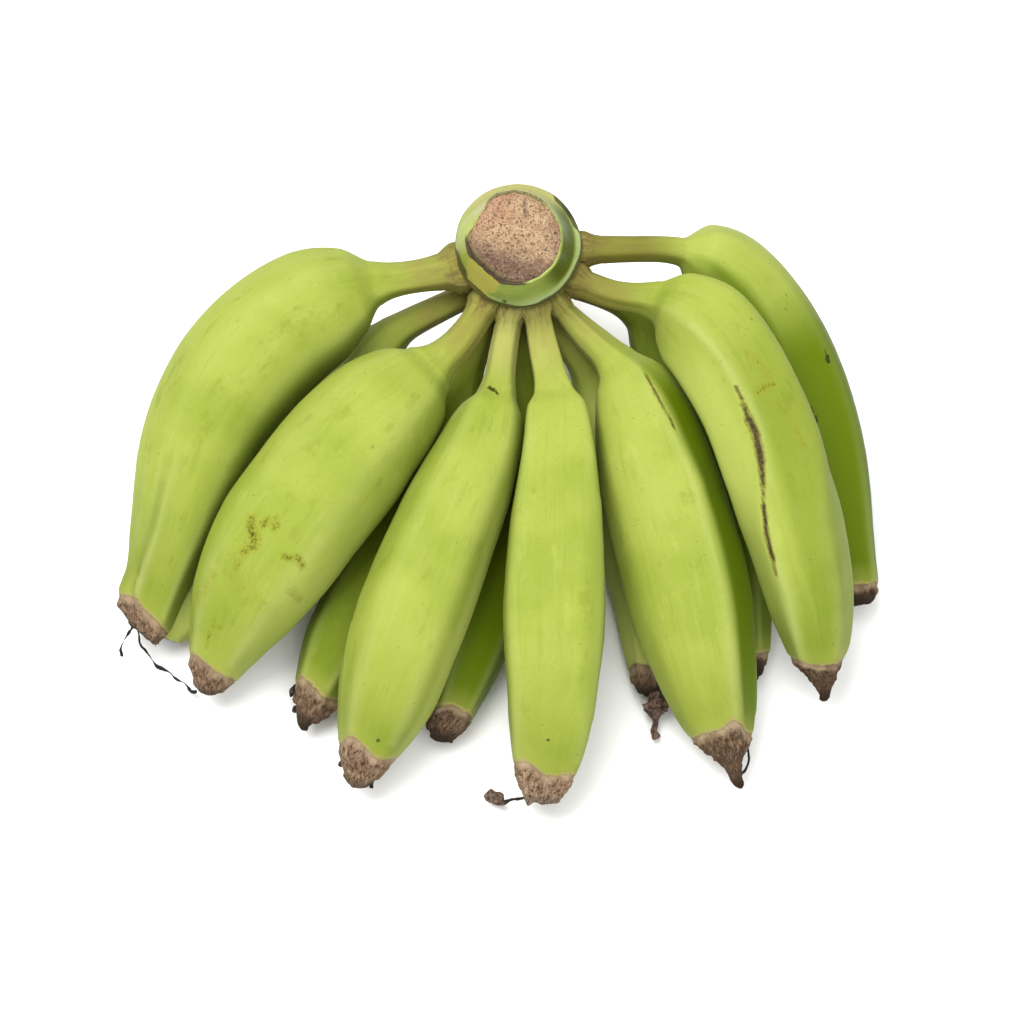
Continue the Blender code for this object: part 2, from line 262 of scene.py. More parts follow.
def corner_closeness(angles, turn, width, corners):
    """1 on the corners of each section and 0 away from them."""
    corners = np.radians(np.array(corners)[None, :] + np.asarray(turn)[:, None])
    away = np.abs((angles[None, :, None] - corners[:, None, :] + np.pi) % (2 * np.pi) - np.pi)
    return np.exp(-((away / width) ** 2)).max(axis=2)


def along_marks(field, reach, angles, half, marks, length, neck):
    """Adds soft strokes to a field. A stroke is (strength, width in mm, [(fraction of the body, degrees), ...])."""
    for strength, width, stroke in marks:
        stroke = np.array(stroke, float)
        s = neck + stroke[:, 0] * length
        a = np.radians(stroke[:, 1])
        w = np.interp(s, reach, half)
        best = np.full(field.shape, np.inf)
        for i in range(max(1, len(stroke) - 1)):
            j = min(i + 1, len(stroke) - 1)
            ds = reach[:, None] - s[i]
            da = ((angles[None, :] - a[i] + np.pi) % (2 * np.pi) - np.pi) * (w[i] + w[j]) / 2
            es, ea = s[j] - s[i], (a[j] - a[i]) * (w[i] + w[j]) / 2
            t = np.clip((ds * es + da * ea) / max(es * es + ea * ea, 1e-9), 0, 1)
            best = np.minimum(best, np.hypot(ds - t * es, da - t * ea))
        field = np.maximum(field, strength * np.exp(-((best / width) ** 2)))
    return field


# Fingers whose faces lie otherwise: the directions of the flats, and of the corners between them.
FACES = {
    "finger_front_4": (88.0, 178.0, 240.0, 300.0, -1.0),
    "finger_front_5": (90.0, 160.0, 232.0, 308.0, 20.0, 55.0),
}
CORNERS = {
    "finger_front_4": (43.0, 133.0, 209.0, 270.0, 329.0),
    "finger_front_5": (125.0, 196.0, 270.0, 344.0),
}

# How far the section turns along a finger, as (fraction of the body, degrees).
TWISTS = {
    "finger_front_5": [(0.0, 8.0), (0.15, 8.0), (0.35, 19.0), (0.7, 19.0), (0.9, 12.0), (1.0, 8.0)],
    "finger_front_6": [(0.0, 28.0), (0.17, 33.0), (0.33, 39.0), (0.5, 29.0), (0.62, 11.0), (0.8, 9.0), (1.0, 4.0)],
}

# Painted shade on the peel, a deeper green where shade falls: towards the tips, on sides turned from the lamp, beside
# neighbouring fingers and on the back row under the front row.
# Below 0 it is painted light, a fresher green: (strength, middle and half reach in degrees, where it fades in).
PAINTED_SHADE_AND_LIGHT = {
    "finger_front_1": [(0.25, 165, 60, 0.0, 0.25), (0.5, 90, 200, 0.6, 1.0)],
    "finger_front_2": [(-0.45, 165, 50, 0.3, 0.6), (0.35, 90, 200, 0.6, 1.0)],
    "finger_front_3": [(0.6, 90, 200, 0.6, 1.0), (-0.8, 184, 36, 0.15, 0.3)],
    "finger_front_4": [(0.55, 90, 200, 0.6, 1.0), (0.4, 178, 58, 0.2, 0.5), (0.3, -2, 45, 0.2, 0.5)],
    "finger_front_5": [(1.0, 176, 50, 0.0, 0.15), (0.6, 90, 200, 0.6, 1.0)],
    "finger_front_6": [(0.45, 150, 70, 0.1, 0.4), (0.6, 90, 200, 0.6, 1.0), (0.6, 218, 40, 0.1, 0.3), (-0.6, 10, 55, 0.1, 0.3)],
    "finger_front_7": [(1.0, 150, 110, 0.16, 0.42), (1.0, 15, 75, -0.02, 0.1), (-0.2, 90, 200, -0.1, 0.0)],
    "finger_back_1": [(-0.8, 120, 200, 0.0, 0.2)],
    "finger_back_2": [(0.65, 120, 200, 0.0, 0.2)],
    "finger_back_3": [(1.0, 120, 200, 0.0, 0.2)],
    "finger_back_4": [(-1.0, 120, 200, 0.0, 0.2)],
    "finger_back_5": [(1.0, 120, 200, 0.0, 0.2)],
}

# How much browner the neck of each finger is, or lighter below 0.
NECKS = {
    "finger_front_3": -0.5, "finger_front_4": -0.25, "finger_front_5": -0.1, "finger_front_6": 0.35, "finger_front_7": 0.6,
}  # fmt: skip

# How brown (0) or blackish (1) the cork of each finger is.
CHAR = {
    "finger_front_1": 0.18, "finger_front_2": 0.24, "finger_front_3": 0.18, "finger_front_4": -0.1,
    "finger_front_5": 0.75, "finger_front_6": 0.95, "finger_front_7": 0.85, "finger_back_1": 0.2,
    "finger_back_2": 0.45, "finger_back_3": 0.6, "finger_back_4": 0.4, "finger_back_5": 0.95,
}  # fmt: skip

# Where the cork starts on the shown side: (degrees, millimetres from the end).
CORK_EDGES = {
    "finger_front_1": [(14.0, 2.9), (43.0, 6.5), (71.0, 8.0), (92.0, 7.6), (109.0, 7.3), (125.0, 6.8), (157.0, 5.4)],
    "finger_front_2": [(1.0, 10.9), (54.0, 12.4), (71.0, 11.5), (93.0, 9.9), (112.0, 9.0), (144.0, 6.9), (184.0, 5.1)],
    "finger_front_3": [(14.0, 12.3), (43.0, 14.8), (57.0, 16.5), (66.0, 15.5), (78.0, 14.1), (101.0, 11.4), (128.0, 10.6), (185.0, 10.5)],
    "finger_front_4": [(6.0, 11.4), (51.0, 13.9), (60.0, 14.3), (67.0, 12.3), (76.0, 10.8), (90.0, 9.6), (109.0, 9.3), (121.0, 10.0), (172.0, 7.9)],
    "finger_front_5": [(-11.0, 17.9), (19.0, 17.5), (54.0, 18.3), (73.0, 18.6), (89.0, 18.3), (105.0, 20.2), (112.0, 20.5), (121.0, 18.8), (141.0, 15.6), (174.0, 13.7)],
    "finger_front_6": [(28.0, 15.0), (53.0, 14.9), (64.0, 13.8), (87.0, 12.9), (110.0, 13.1), (151.0, 11.6), (176.0, 12.0)],
    "finger_front_7": [(76.0, 3.3), (94.0, 3.3), (119.0, 3.0), (147.0, 4.0)],
    "finger_back_1": [(-10.0, 5.0), (23.0, 2.0), (60.0, -2.0), (100.0, -4.0), (150.0, -4.0), (200.0, -1.0), (250.0, 4.0), (300.0, 6.0)],
    "finger_back_2": [(-15.0, 9.2), (33.0, 10.4), (53.0, 10.1), (72.0, 9.7), (89.0, 9.0), (113.0, 8.5), (142.0, 9.7), (171.0, 10.8)],
    "finger_back_3": [(30.0, 8.3), (61.0, 8.8), (80.0, 9.6), (105.0, 9.9), (130.0, 8.9)],
    "finger_back_4": [(12.0, 7.5), (52.0, 7.6), (74.0, 7.6), (91.0, 6.6)],
    "finger_back_5": [(101.0, 5.2), (131.0, 5.3), (181.0, 6.4)],
}

# Swellings: (height in mm, fraction, degrees, reach as a fraction, reach in degrees).
SWELLINGS = {
    "finger_front_1": [(3.4, 1.0, 12.0, 0.07, 34.0), (-1.2, 0.97, 50.0, 0.08, 16.0)],
}

# Strokes on the skin, each (strength, width in mm, [(fraction, degrees), ...]).
MARKS = {
    "finger_front_1": {
        "groove_painted_shade": [
            (0.45, 1.8, [(0.633, 68.8), (0.67, 68.0)]),
            (0.8, 1.8, [(0.681, 67.9), (0.725, 67.2)]),
            (1, 1.8, [(0.731, 67.0), (0.774, 65.9), (0.826, 60.4), (0.884, 52.4)]),
        ],
        "pale": [
            (0.2, 2.2, [(0.597, 82.0), (0.627, 79.9)]),
            (0.45, 2, [(0.634, 81.1), (0.671, 77.2)]),
            (0.7, 1.8, [(0.68, 77.2), (0.721, 77.0)]),
            (0.9, 1.8, [(0.728, 76.9), (0.774, 76.8), (0.824, 72.8), (0.883, 67.4), (0.926, 65.2)]),
            (0.5, 1.8, [(0.85, 60.2), (0.913, 38.2), (0.948, 37.1)]),
            (0.4, 2.4, [(0.662, 37.5), (0.721, 42.3), (0.807, 46.2)]),
        ],
        "spot": [
            (1, 0.75, [(0.623, 56.1)]),
            (0.5, 0.6, [(0.596, 24.6)]),
        ],
        "rust": [
            (0.55, 1.6, [(0.82, 60.0), (0.895, 46.0)]),
        ],
    },
    "finger_front_2": {
        "rust": [
            (0.5, 3.4, [(0.774, 40.6), (0.84, 31.0)]),
            (0.4, 5, [(0.689, 87.9), (0.715, 112.0)]),
            (1, 2.2, [(0.563, 62.0), (0.602, 77.7)]),
            (1, 1.6, [(0.558, 73.1), (0.542, 74.9)]),
            (0.9, 1.8, [(0.548, 84.0), (0.532, 80.7)]),
            (0.85, 2.2, [(0.629, 71.7), (0.589, 77.7)]),
            (0.8, 1.2, [(0.651, 73.3), (0.673, 72.7)]),
            (1, 1.4, [(0.587, 103.0), (0.581, 109.4)]),
            (0.9, 1.6, [(0.57, 112.5), (0.583, 122.0)]),
            (0.6, 2.2, [(0.648, 126.1), (0.662, 146.2)]),
            (0.5, 3, [(0.714, 52.3), (0.78, 46.5)]),
            (0.8, 0.9, [(0.82, 71.7), (0.812, 83.0)]),
            (0.8, 0.9, [(0.836, 69.3), (0.878, 68.3)]),
            (0.6, 1.2, [(0.751, 50.0), (0.767, 49.8)]),
            (0.8, 1.2, [(0.85, 36.5), (0.895, 18.6)]),
            (0.45, 2.6, [(0.688, 72.0), (0.708, 85.9)]),
        ],
        "spot": [
            (0.8, 0.5, [(0.401, 132.7)]),
            (0.7, 0.45, [(0.288, 48.8)]),
            (0.75, 0.6, [(0.587, 103.0), (0.582, 107.9)]),
            (0.7, 0.6, [(0.583, 69.9), (0.594, 71.1)]),
        ],
    },
    "finger_front_3": {
        "spot": [
            (1, 0.9, [(0.877, 100.7)]),
            (1, 1.1, [(0.013, 65.5), (0.019, 80.2)]),
            (0.9, 0.8, [(0.023, 87.0), (0.029, 90.8)]),
        ],
        "rust": [
            (0.5, 1.5, [(0.682, 26.8), (0.807, 47.6)]),
        ],
        "pale": [
            (0.5, 1.2, [(0.652, 355.0), (0.774, 375.4), (0.891, 377.0)]),
        ],
    },
    "finger_front_4": {
        "spot": [
            (1, 0.7, [(0.847, 88.6)]),
            (0.6, 0.5, [(0.76, 76.3)]),
        ],
        "pale": [
            (0.5, 1.2, [(0.3, 143.6), (0.444, 140.5), (0.626, 136.8), (0.794, 143.2)]),
        ],
    },
    "finger_front_5": {
        "scar": [
            (0.8, 0.55, [(0.077, 117.7), (0.132, 114.4)]),
            (0.7, 0.55, [(0.135, 115.3), (0.175, 117.2), (0.218, 119.3)]),
        ],
        "pale": [
            (0.55, 1.1, [(0.22, 114.1), (0.324, 119.1), (0.509, 117.9), (0.688, 118.3), (0.853, 112.6)]),
        ],
    },
    "finger_front_6": {
        "pale": [
            (0.75, 1.5, [(0.159, 74.1), (0.23, 76.8), (0.286, 78.2), (0.339, 78.4)]),
            (0.5, 1.6, [(0.352, 84.2), (0.414, 80.9), (0.474, 76.7), (0.537, 67.8)]),
            (0.55, 1.4, [(0.682, 51.4), (0.757, 58.9), (0.847, 54.2)]),
        ],
        "scar": [
            (0.75, 0.6, [(0.325, 78.0), (0.355, 76.9)]),
            (0.95, 0.8, [(0.364, 75.9), (0.392, 74.3)]),
            (1, 1.3, [(0.397, 74.4), (0.424, 75.0), (0.459, 71.9), (0.484, 69.8)]),
            (0.95, 1, [(0.487, 69.0), (0.526, 63.2)]),
            (0.7, 0.6, [(0.53, 63.1), (0.559, 57.2)]),
            (0.95, 0.9, [(0.563, 56.8), (0.61, 52.2)]),
            (0.95, 1, [(0.61, 52.2), (0.65, 50.2), (0.671, 50.2)]),
            (0.6, 0.7, [(0.675, 49.7), (0.702, 48.7)]),
        ],
        "rust": [
            (0.85, 1.3, [(0.352, 93.5), (0.346, 104.4), (0.343, 119.6)]),
            (0.6, 2.2, [(0.287, 114.1), (0.322, 118.1)]),
            (0.5, 1.8, [(0.273, 106.7), (0.298, 104.0)]),
            (0.6, 1.6, [(0.439, 120.0), (0.474, 122.8)]),
            (0.5, 2, [(0.387, 116.9), (0.412, 117.9)]),
            (0.5, 1, [(0.881, 166.2), (0.898, 124.9)]),
        ],
        "spot": [
            (0.5, 0.5, [(0.523, 0.1)]),
        ],
    },
    "finger_front_7": {
        "spot": [
            (0.85, 0.6, [(0.411, 130.5), (0.424, 128.3)]),
            (1, 1.2, [(0.431, 128.7), (0.442, 127.2)]),
            (0.8, 0.7, [(0.53, 77.2), (0.547, 76.9)]),
            (1, 1.2, [(0.557, 77.8), (0.569, 76.8)]),
            (0.6, 0.7, [(0.24, 122.9), (0.26, 119.9)]),
            (0.6, 0.6, [(0.438, 82.8)]),
        ],
    },
    "finger_back_2": {
        "spot": [
            (0.6, 0.8, [(0.748, 44.9)]),
        ],
    },
    "finger_back_3": {
        "spot": [
            (0.6, 0.8, [(0.891, 84.5)]),
        ],
    },
}


def finger_surface(name, finger, sides, density, seed):
    """Points of one finger in millimetres, ring by ring, and the fields that its skin reads."""
    height, radius = finger["row"]
    root = crown_point(height, radius, finger["angle"])
    spine = np.array([root] + list(finger["spine"]), float)
    known = np.concatenate([[0.0], np.cumsum(np.linalg.norm(np.diff(spine, axis=0), axis=1))])
    curve = cubic(known, spine)
    width_at = steady(WIDTH_PLACES, finger["half"])
    neck, body = known[2], known[-1] - known[2]

    def count(n):
        return max(4, int(n * density))

    places = np.concatenate([
        np.linspace(0, 0.5, count(22), endpoint=False),
        np.linspace(0.5, 2, count(30), endpoint=False),
        np.linspace(2, 2.2, count(30), endpoint=False),
        np.linspace(2.2, 2.86, count(100), endpoint=False),
        np.linspace(2.86, 3, count(56)),
    ])  # fmt: skip
    reach = np.where(places <= 2, np.interp(places, [0, 1, 2], known[:3]), neck + (places - 2) * body)
    centre = curve(reach)
    along = unit(curve(reach + 0.05) - curve(reach - 0.05))
    outward = unit(root - RING - height * AXIS)
    turnover = soft(places, 0.0, 0.5)[:, None]
    along = unit((1 - turnover) * outward + turnover * along)
    half = width_at(places)
    # the root flares into the crown
    half = half + 1.7 * (1 - soft(reach, 0.0, 6.0))
    # inside the crown, and the nib past the end
    inner = np.array([-4.5, -2.5, -1.0])
    length, drift_x, drift_y, blunt = finger["nib"]
    past = np.linspace(0, 1, count(34))[1:]
    centre = np.concatenate([root + inner[:, None] * outward, centre, centre[-1] + past[:, None] * length * along[-1]])
    along = np.concatenate([np.repeat(outward[None], 3, 0), along, np.repeat(along[-1:], len(past), 0)])
    half = np.concatenate([np.full(3, half[0]), half, half[-1] * np.maximum(1 - past ** (1 / blunt), 0.0) ** blunt])
    reach = np.concatenate([inner, reach, known[-1] + past * length])
    places = np.concatenate([np.zeros(3), places, np.full(len(past), 3.0)])
    past = np.concatenate([np.zeros(len(places) - len(past)), past])

    up = unit(DISPLAY - (along @ DISPLAY)[:, None] * along)
    side = np.cross(along, up)
    angles = np.linspace(0, 2 * np.pi, sides, endpoint=False)
    crisp = finger["crisp"] + 1.5 * (1 - soft(places, 2.0, 2.3)) + 2.0 * soft(places, 2.7, 2.95)
    fraction = (reach - neck) / body
    turn = finger["turn"] + np.interp(fraction, *zip(*TWISTS.get(name, [(0.0, 0.0)])))
    outline = section(angles, turn, crisp, FACES.get(name, FACES_DEG))
    depth = np.interp(places, [1.5, 2.1, 2.85, 3.0], [1.0, finger["depth"], finger["depth"], 1.0])
    x = half[:, None] * outline[..., 0]
    y = (half * depth)[:, None] * outline[..., 1]

    # where things are
    on_body = soft(fraction, -0.02, 0.12)
    edge, slope_x, slope_y = finger["cork"]
    cork = reach[:, None] - (known[-1] - edge) + slope_x * x + slope_y * y
    if name in CORK_EDGES:
        around, inward = np.array(CORK_EDGES[name], float).T
        around = np.concatenate([[around[-1] - 360], around, [around[0] + 360]])
        inward = np.concatenate([inward[-1:], inward, inward[:1]])
        cork = reach[:, None] - known[-1] + np.interp(np.degrees(angles), around, inward)[None, :]
    ragged = np.stack(np.broadcast_arrays(x, y, reach[:, None] + 90.0 * seed), axis=-1)
    cork = cork + 1.0 * layers(ragged / 4.0, seed, 3)
    corners = corner_closeness(angles, turn, 0.16, CORNERS.get(name, CORNERS_DEG))
    ridge = corners * (0.35 + 0.65 * soft(fraction, 0.55, 0.95) + 0.25 * (1 - soft(fraction, 0.0, 0.3)))[:, None]
    ridge = ridge * (on_body * (1 - soft(cork, -1.0, 1.5).max(axis=1)))[:, None]

    marks = MARKS.get(name, {})
    fields = {}
    for kind in ("rust", "scar", "spot", "pale", "groove_painted_shade"):
        fields[kind] = along_marks(np.zeros_like(x), reach, angles, half, marks.get(kind, ()), body, neck)

    # painted shade (deeper green) and painted light (fresher green), from the table above
    fields["deep"], fields["peel_painted_light"] = np.zeros_like(x), np.zeros_like(x)
    for strength, middle, breadth, start, full in PAINTED_SHADE_AND_LIGHT.get(name, ()):
        away = np.abs((np.degrees(angles) - middle + 180) % 360 - 180)[None, :]
        there = (1 - soft(away, breadth - 14, breadth + 8)) * soft(fraction, start, full)[:, None]
        kind = "deep" if strength > 0 else "peel_painted_light"
        fields[kind] = np.maximum(fields[kind], abs(strength) * there)
    fields["neck"] = np.full_like(x, NECKS.get(name, 0.0))

    # shape: slow swellings, ridges, grooves, wrinkles at the root, rough cork
    radial = np.stack(np.broadcast_arrays(np.cos(angles)[None, :], np.sin(angles)[None, :]), axis=-1)
    lift = 0.45 * layers(ragged / 26.0, seed + 3, 2) * on_body[:, None]
    lift += 0.10 * layers(ragged / 7.0, seed + 5, 2) * on_body[:, None]
    lift += 0.35 * ridge
    lift += 0.55 * fields["pale"] - 1.1 * fields["groove_painted_shade"] - 0.35 * fields["scar"]
    for height_mm, at, middle, long, wide in SWELLINGS.get(name, ()):
        away = np.abs((np.degrees(angles) - middle + 180) % 360 - 180)[None, :]
        lift += height_mm * np.exp(-((away / wide) ** 2)) * np.exp(-(((np.minimum(fraction, 1.0)[:, None] - at) / long) ** 2))
    stem = 1 - soft(fraction, -0.12, 0.03)
    folds = np.stack(np.broadcast_arrays(0.10 * x, 0.10 * y, reach[:, None] * 0.85), axis=-1)
    lift += 0.30 * noise(folds, seed + 9) * (1 - soft(reach, 4.0, 9.0))[:, None]
    streaks = np.stack(np.broadcast_arrays(x * 0.5, y * 0.5, reach[:, None] * 0.05), axis=-1)
    lift += 0.16 * noise(streaks, seed + 13) * stem[:, None]
    rough = soft(cork, -0.6, 1.2)
    nibs = np.maximum(half / max(half.max() * 0.25, 1e-6), 0.0).clip(0, 1)[:, None]
    lift += rough * (0.95 * layers(ragged / 3.4, seed + 17, 3) + 0.45 * layers(ragged / 1.1, seed + 19, 2)) * nibs
    lift -= 0.25 * soft(cork, -1.6, -0.2) * (1 - soft(cork, 0.2, 1.4))  # a crease before the cork
    x = x + lift * radial[..., 0]
    y = y + lift * radial[..., 1]

    slant = soft(fraction, 0.80, 1.0)[:, None]
    forward = slant * (finger["slant"][0] * x + finger["slant"][1] * y)
    forward += 0.8 * rough * noise(ragged / 2.2, seed + 23) * nibs
    drift = (past * length)[:, None]
    x = x + drift_x * drift
    y = y + drift_y * drift
    points = centre[:, None] + x[..., None] * side[:, None] + y[..., None] * up[:, None] + forward[..., None] * along[:, None]
    points = points - MIDDLE
    points[..., 2] = np.maximum(points[..., 2], 0.02)

    fields["cork"] = cork
    fields["end"] = np.broadcast_to(soft(reach, known[-1] - 4.0, known[-1] + 0.8 * length)[:, None], x.shape)
    fields["char"] = CHAR[name] + 0.35 * soft(y, -2.0, -8.0) + np.zeros_like(x)
    fields["stem"] = np.broadcast_to(stem[:, None], x.shape)
    fields["root"] = np.broadcast_to((1 - soft(reach, 0.0, 14.0))[:, None], x.shape)
    fields["ridge"] = ridge
    girth = 15.0
    fields["flow"] = np.stack(
        np.broadcast_arrays(
            girth * np.cos(angles)[None, :], girth * np.sin(angles)[None, :], reach[:, None] + 90.0 * seed
        ),
        axis=-1,
    )
    return points, fields


# ------------------------------------------------------------------ meshes
def mesh_object(name, grid, fields, materials, close=True):
    """A closed surface through a grid of rings, with one value of each field at each point."""
    rings, sides = grid.shape[:2]
    first, last = grid[0].mean(axis=0), grid[-1].mean(axis=0)
    points = np.concatenate([grid.reshape(-1, 3), [first], [last]]) * MM
    i, j = np.meshgrid(np.arange(rings - 1), np.arange(sides), indexing="ij")
    k = (j + 1) % sides
    quads = np.stack([i * sides + j, i * sides + k, (i + 1) * sides + k, (i + 1) * sides + j], axis=-1).reshape(-1, 4)
    j = np.arange(sides)
    k = (j + 1) % sides
    start, end = rings * sides, rings * sides + 1
    low = np.stack([k, j, np.full(sides, start)], axis=-1)
    high = np.stack([(rings - 1) * sides + j, (rings - 1) * sides + k, np.full(sides, end)], axis=-1)
    mesh = bpy.data.meshes.new(name)
    mesh.from_pydata(points.tolist(), [], quads.tolist() + low.tolist() + high.tolist())
    flip = faces_in(points, quads)
    if flip:
        mesh.flip_normals()
    mesh.shade_smooth()
    for key, values in fields.items():
        values = np.asarray(values, float)
        vector = values.ndim == 3
        flat = values.reshape(rings * sides, -1)
        flat = np.concatenate([flat, values[0].reshape(sides, -1).mean(0)[None], values[-1].reshape(sides, -1).mean(0)[None]])
        made = mesh.attributes.new(key, "FLOAT_VECTOR" if vector else "FLOAT", "POINT")
        made.data.foreach_set("vector" if vector else "value", flat.astype(np.float32).ravel())
    for material in materials:
        mesh.materials.append(material)
    made = bpy.data.objects.new(name, mesh)
    bpy.context.scene.collection.objects.link(made)
    return made


def faces_in(points, quads):
    """True if the quads' normals look into the solid."""
    a, b, c, d = (points[quads[:, n]] for n in range(4))
    volume = (np.cross(a, b) * c).sum() + (np.cross(a, c) * d).sum()
    return volume < 0


# --------------------------------------------------------------- materials
def tone(r, g, b):
    """The albedo that shows as this sRGB colour, 0 to 255, where the studio's light is full."""
    c = np.array([r, g, b], float) / 255.0
    c = np.where(c <= 0.04045, c / 12.92, ((c + 0.055) / 1.055) ** 2.4) * 0.44
    return (float(c[0]), float(c[1]), float(c[2]), 1.0)


class Shader:
    """A short way to write a node tree."""

    def __init__(self, name):
        self.material = bpy.data.materials.new(name)
        self.material.use_nodes = True
        self.tree = self.material.node_tree
        self.surface = self.tree.nodes["Principled BSDF"]

    def put(self, node, socket, value):
        target = node.inputs[socket]
        if isinstance(value, bpy.types.NodeSocket):
            self.tree.links.new(value, target)
        else:
            target.default_value = value

    def field(self, name, vector=False):
        node = self.tree.nodes.new("ShaderNodeAttribute")
        node.attribute_name = name
        return node.outputs["Vector" if vector else "Fac"]

    def scaled(self, vector, scale):
        node = self.tree.nodes.new("ShaderNodeMapping")
        node.inputs["Scale"].default_value = scale
        self.tree.links.new(vector, node.inputs["Vector"])
        return node.outputs["Vector"]

    def noise(self, vector, scale=1.0, detail=2.0, rough=0.5, distortion=0.0):
        node = self.tree.nodes.new("ShaderNodeTexNoise")
        self.tree.links.new(vector, node.inputs["Vector"])
        node.inputs["Scale"].default_value = scale
        node.inputs["Detail"].default_value = detail
        node.inputs["Roughness"].default_value = rough
        node.inputs["Distortion"].default_value = distortion
        return node.outputs["Fac"]

    def cells(self, vector, scale=1.0, feature="F1", randomness=1.0):
        node = self.tree.nodes.new("ShaderNodeTexVoronoi")
        node.feature = feature
        self.tree.links.new(vector, node.inputs["Vector"])
        node.inputs["Scale"].default_value = scale
        node.inputs["Randomness"].default_value = randomness
        return node.outputs["Distance"]

    def math(self, kind, a, b=0.0, c=None, clamp=False):
        node = self.tree.nodes.new("ShaderNodeMath")
        node.operation = kind
        node.use_clamp = clamp
        self.put(node, 0, a)
        self.put(node, 1, b)
        if c is not None:
            self.put(node, 2, c)
        return node.outputs[0]

    def window(self, value, low, high, to_low=0.0, to_high=1.0, smooth=True):
        node = self.tree.nodes.new("ShaderNodeMapRange")
        node.interpolation_type = "SMOOTHSTEP" if smooth else "LINEAR"
        self.put(node, "Value", value)
        self.put(node, "From Min", low)
        self.put(node, "From Max", high)
        self.put(node, "To Min", to_low)
        self.put(node, "To Max", to_high)
        return node.outputs["Result"]

    def mix(self, factor, a, b, kind="MIX"):
        node = self.tree.nodes.new("ShaderNodeMix")
        node.data_type = "RGBA"
        node.blend_type = kind
        self.put(node, 0, factor)
        self.put(node, 6, a)
        self.put(node, 7, b)
        return node.outputs[2]

    def bump(self, height, distance, strength=1.0, after=None):
        node = self.tree.nodes.new("ShaderNodeBump")
        node.inputs["Strength"].default_value = strength
        node.inputs["Distance"].default_value = distance
        self.tree.links.new(height, node.inputs["Height"])
        if after is not None:
            self.tree.links.new(after, node.inputs["Normal"])
        return node.outputs["Normal"]

    def finish(self, colour, roughness, normal=None, specular=0.5, ior=1.45):
        self.put(self.surface, "Base Color", colour)
        self.put(self.surface, "Roughness", roughness)
        self.surface.inputs["Specular IOR Level"].default_value = specular
        self.surface.inputs["IOR"].default_value = ior
        if normal is not None:
            self.put(self.surface, "Normal", normal)
        return self.material


def cork_colour(s, flow):
    """Dried, corky skin: pinkish tan with pale flakes and dark pits, blackish where charred."""
    patches = s.noise(flow, 0.34, 3.0, 0.65)
    grain = s.noise(flow, 0.62, 4.0, 0.75)
    pits = s.cells(flow, 0.42)
    char = s.field("char")
    end = s.field("end")
    colour = s.mix(s.window(patches, 0.38, 0.6), tone(170, 132, 102), tone(212, 174, 140))
    colour = s.mix(s.window(grain, 0.51, 0.61, 0.0, 0.9), colour, tone(240, 216, 180))
    grey = s.math("MULTIPLY", end, s.window(char, 0.0, 0.4, 0.6, 0.0))
    colour = s.mix(grey, colour, tone(182, 168, 152))
    dark = s.math("ADD", char, s.math("MULTIPLY", s.math("SUBTRACT", patches, 0.5), 2.0), clamp=True)
    colour = s.mix(s.math("MULTIPLY", dark, 0.8), colour, tone(100, 76, 56))
    black = s.math("MULTIPLY", end, s.window(char, 0.05, 0.4, 0.15, 0.85))
    colour = s.mix(black, colour, tone(60, 54, 46))
    colour = s.mix(s.window(grain, 0.47, 0.39, 0.0, 0.85), colour, tone(80, 60, 44))
    colour = s.mix(s.math("MULTIPLY", s.window(pits, 0.3, 0.12), s.window(patches, 0.44, 0.56)), colour, tone(58, 42, 36))
    return colour, grain


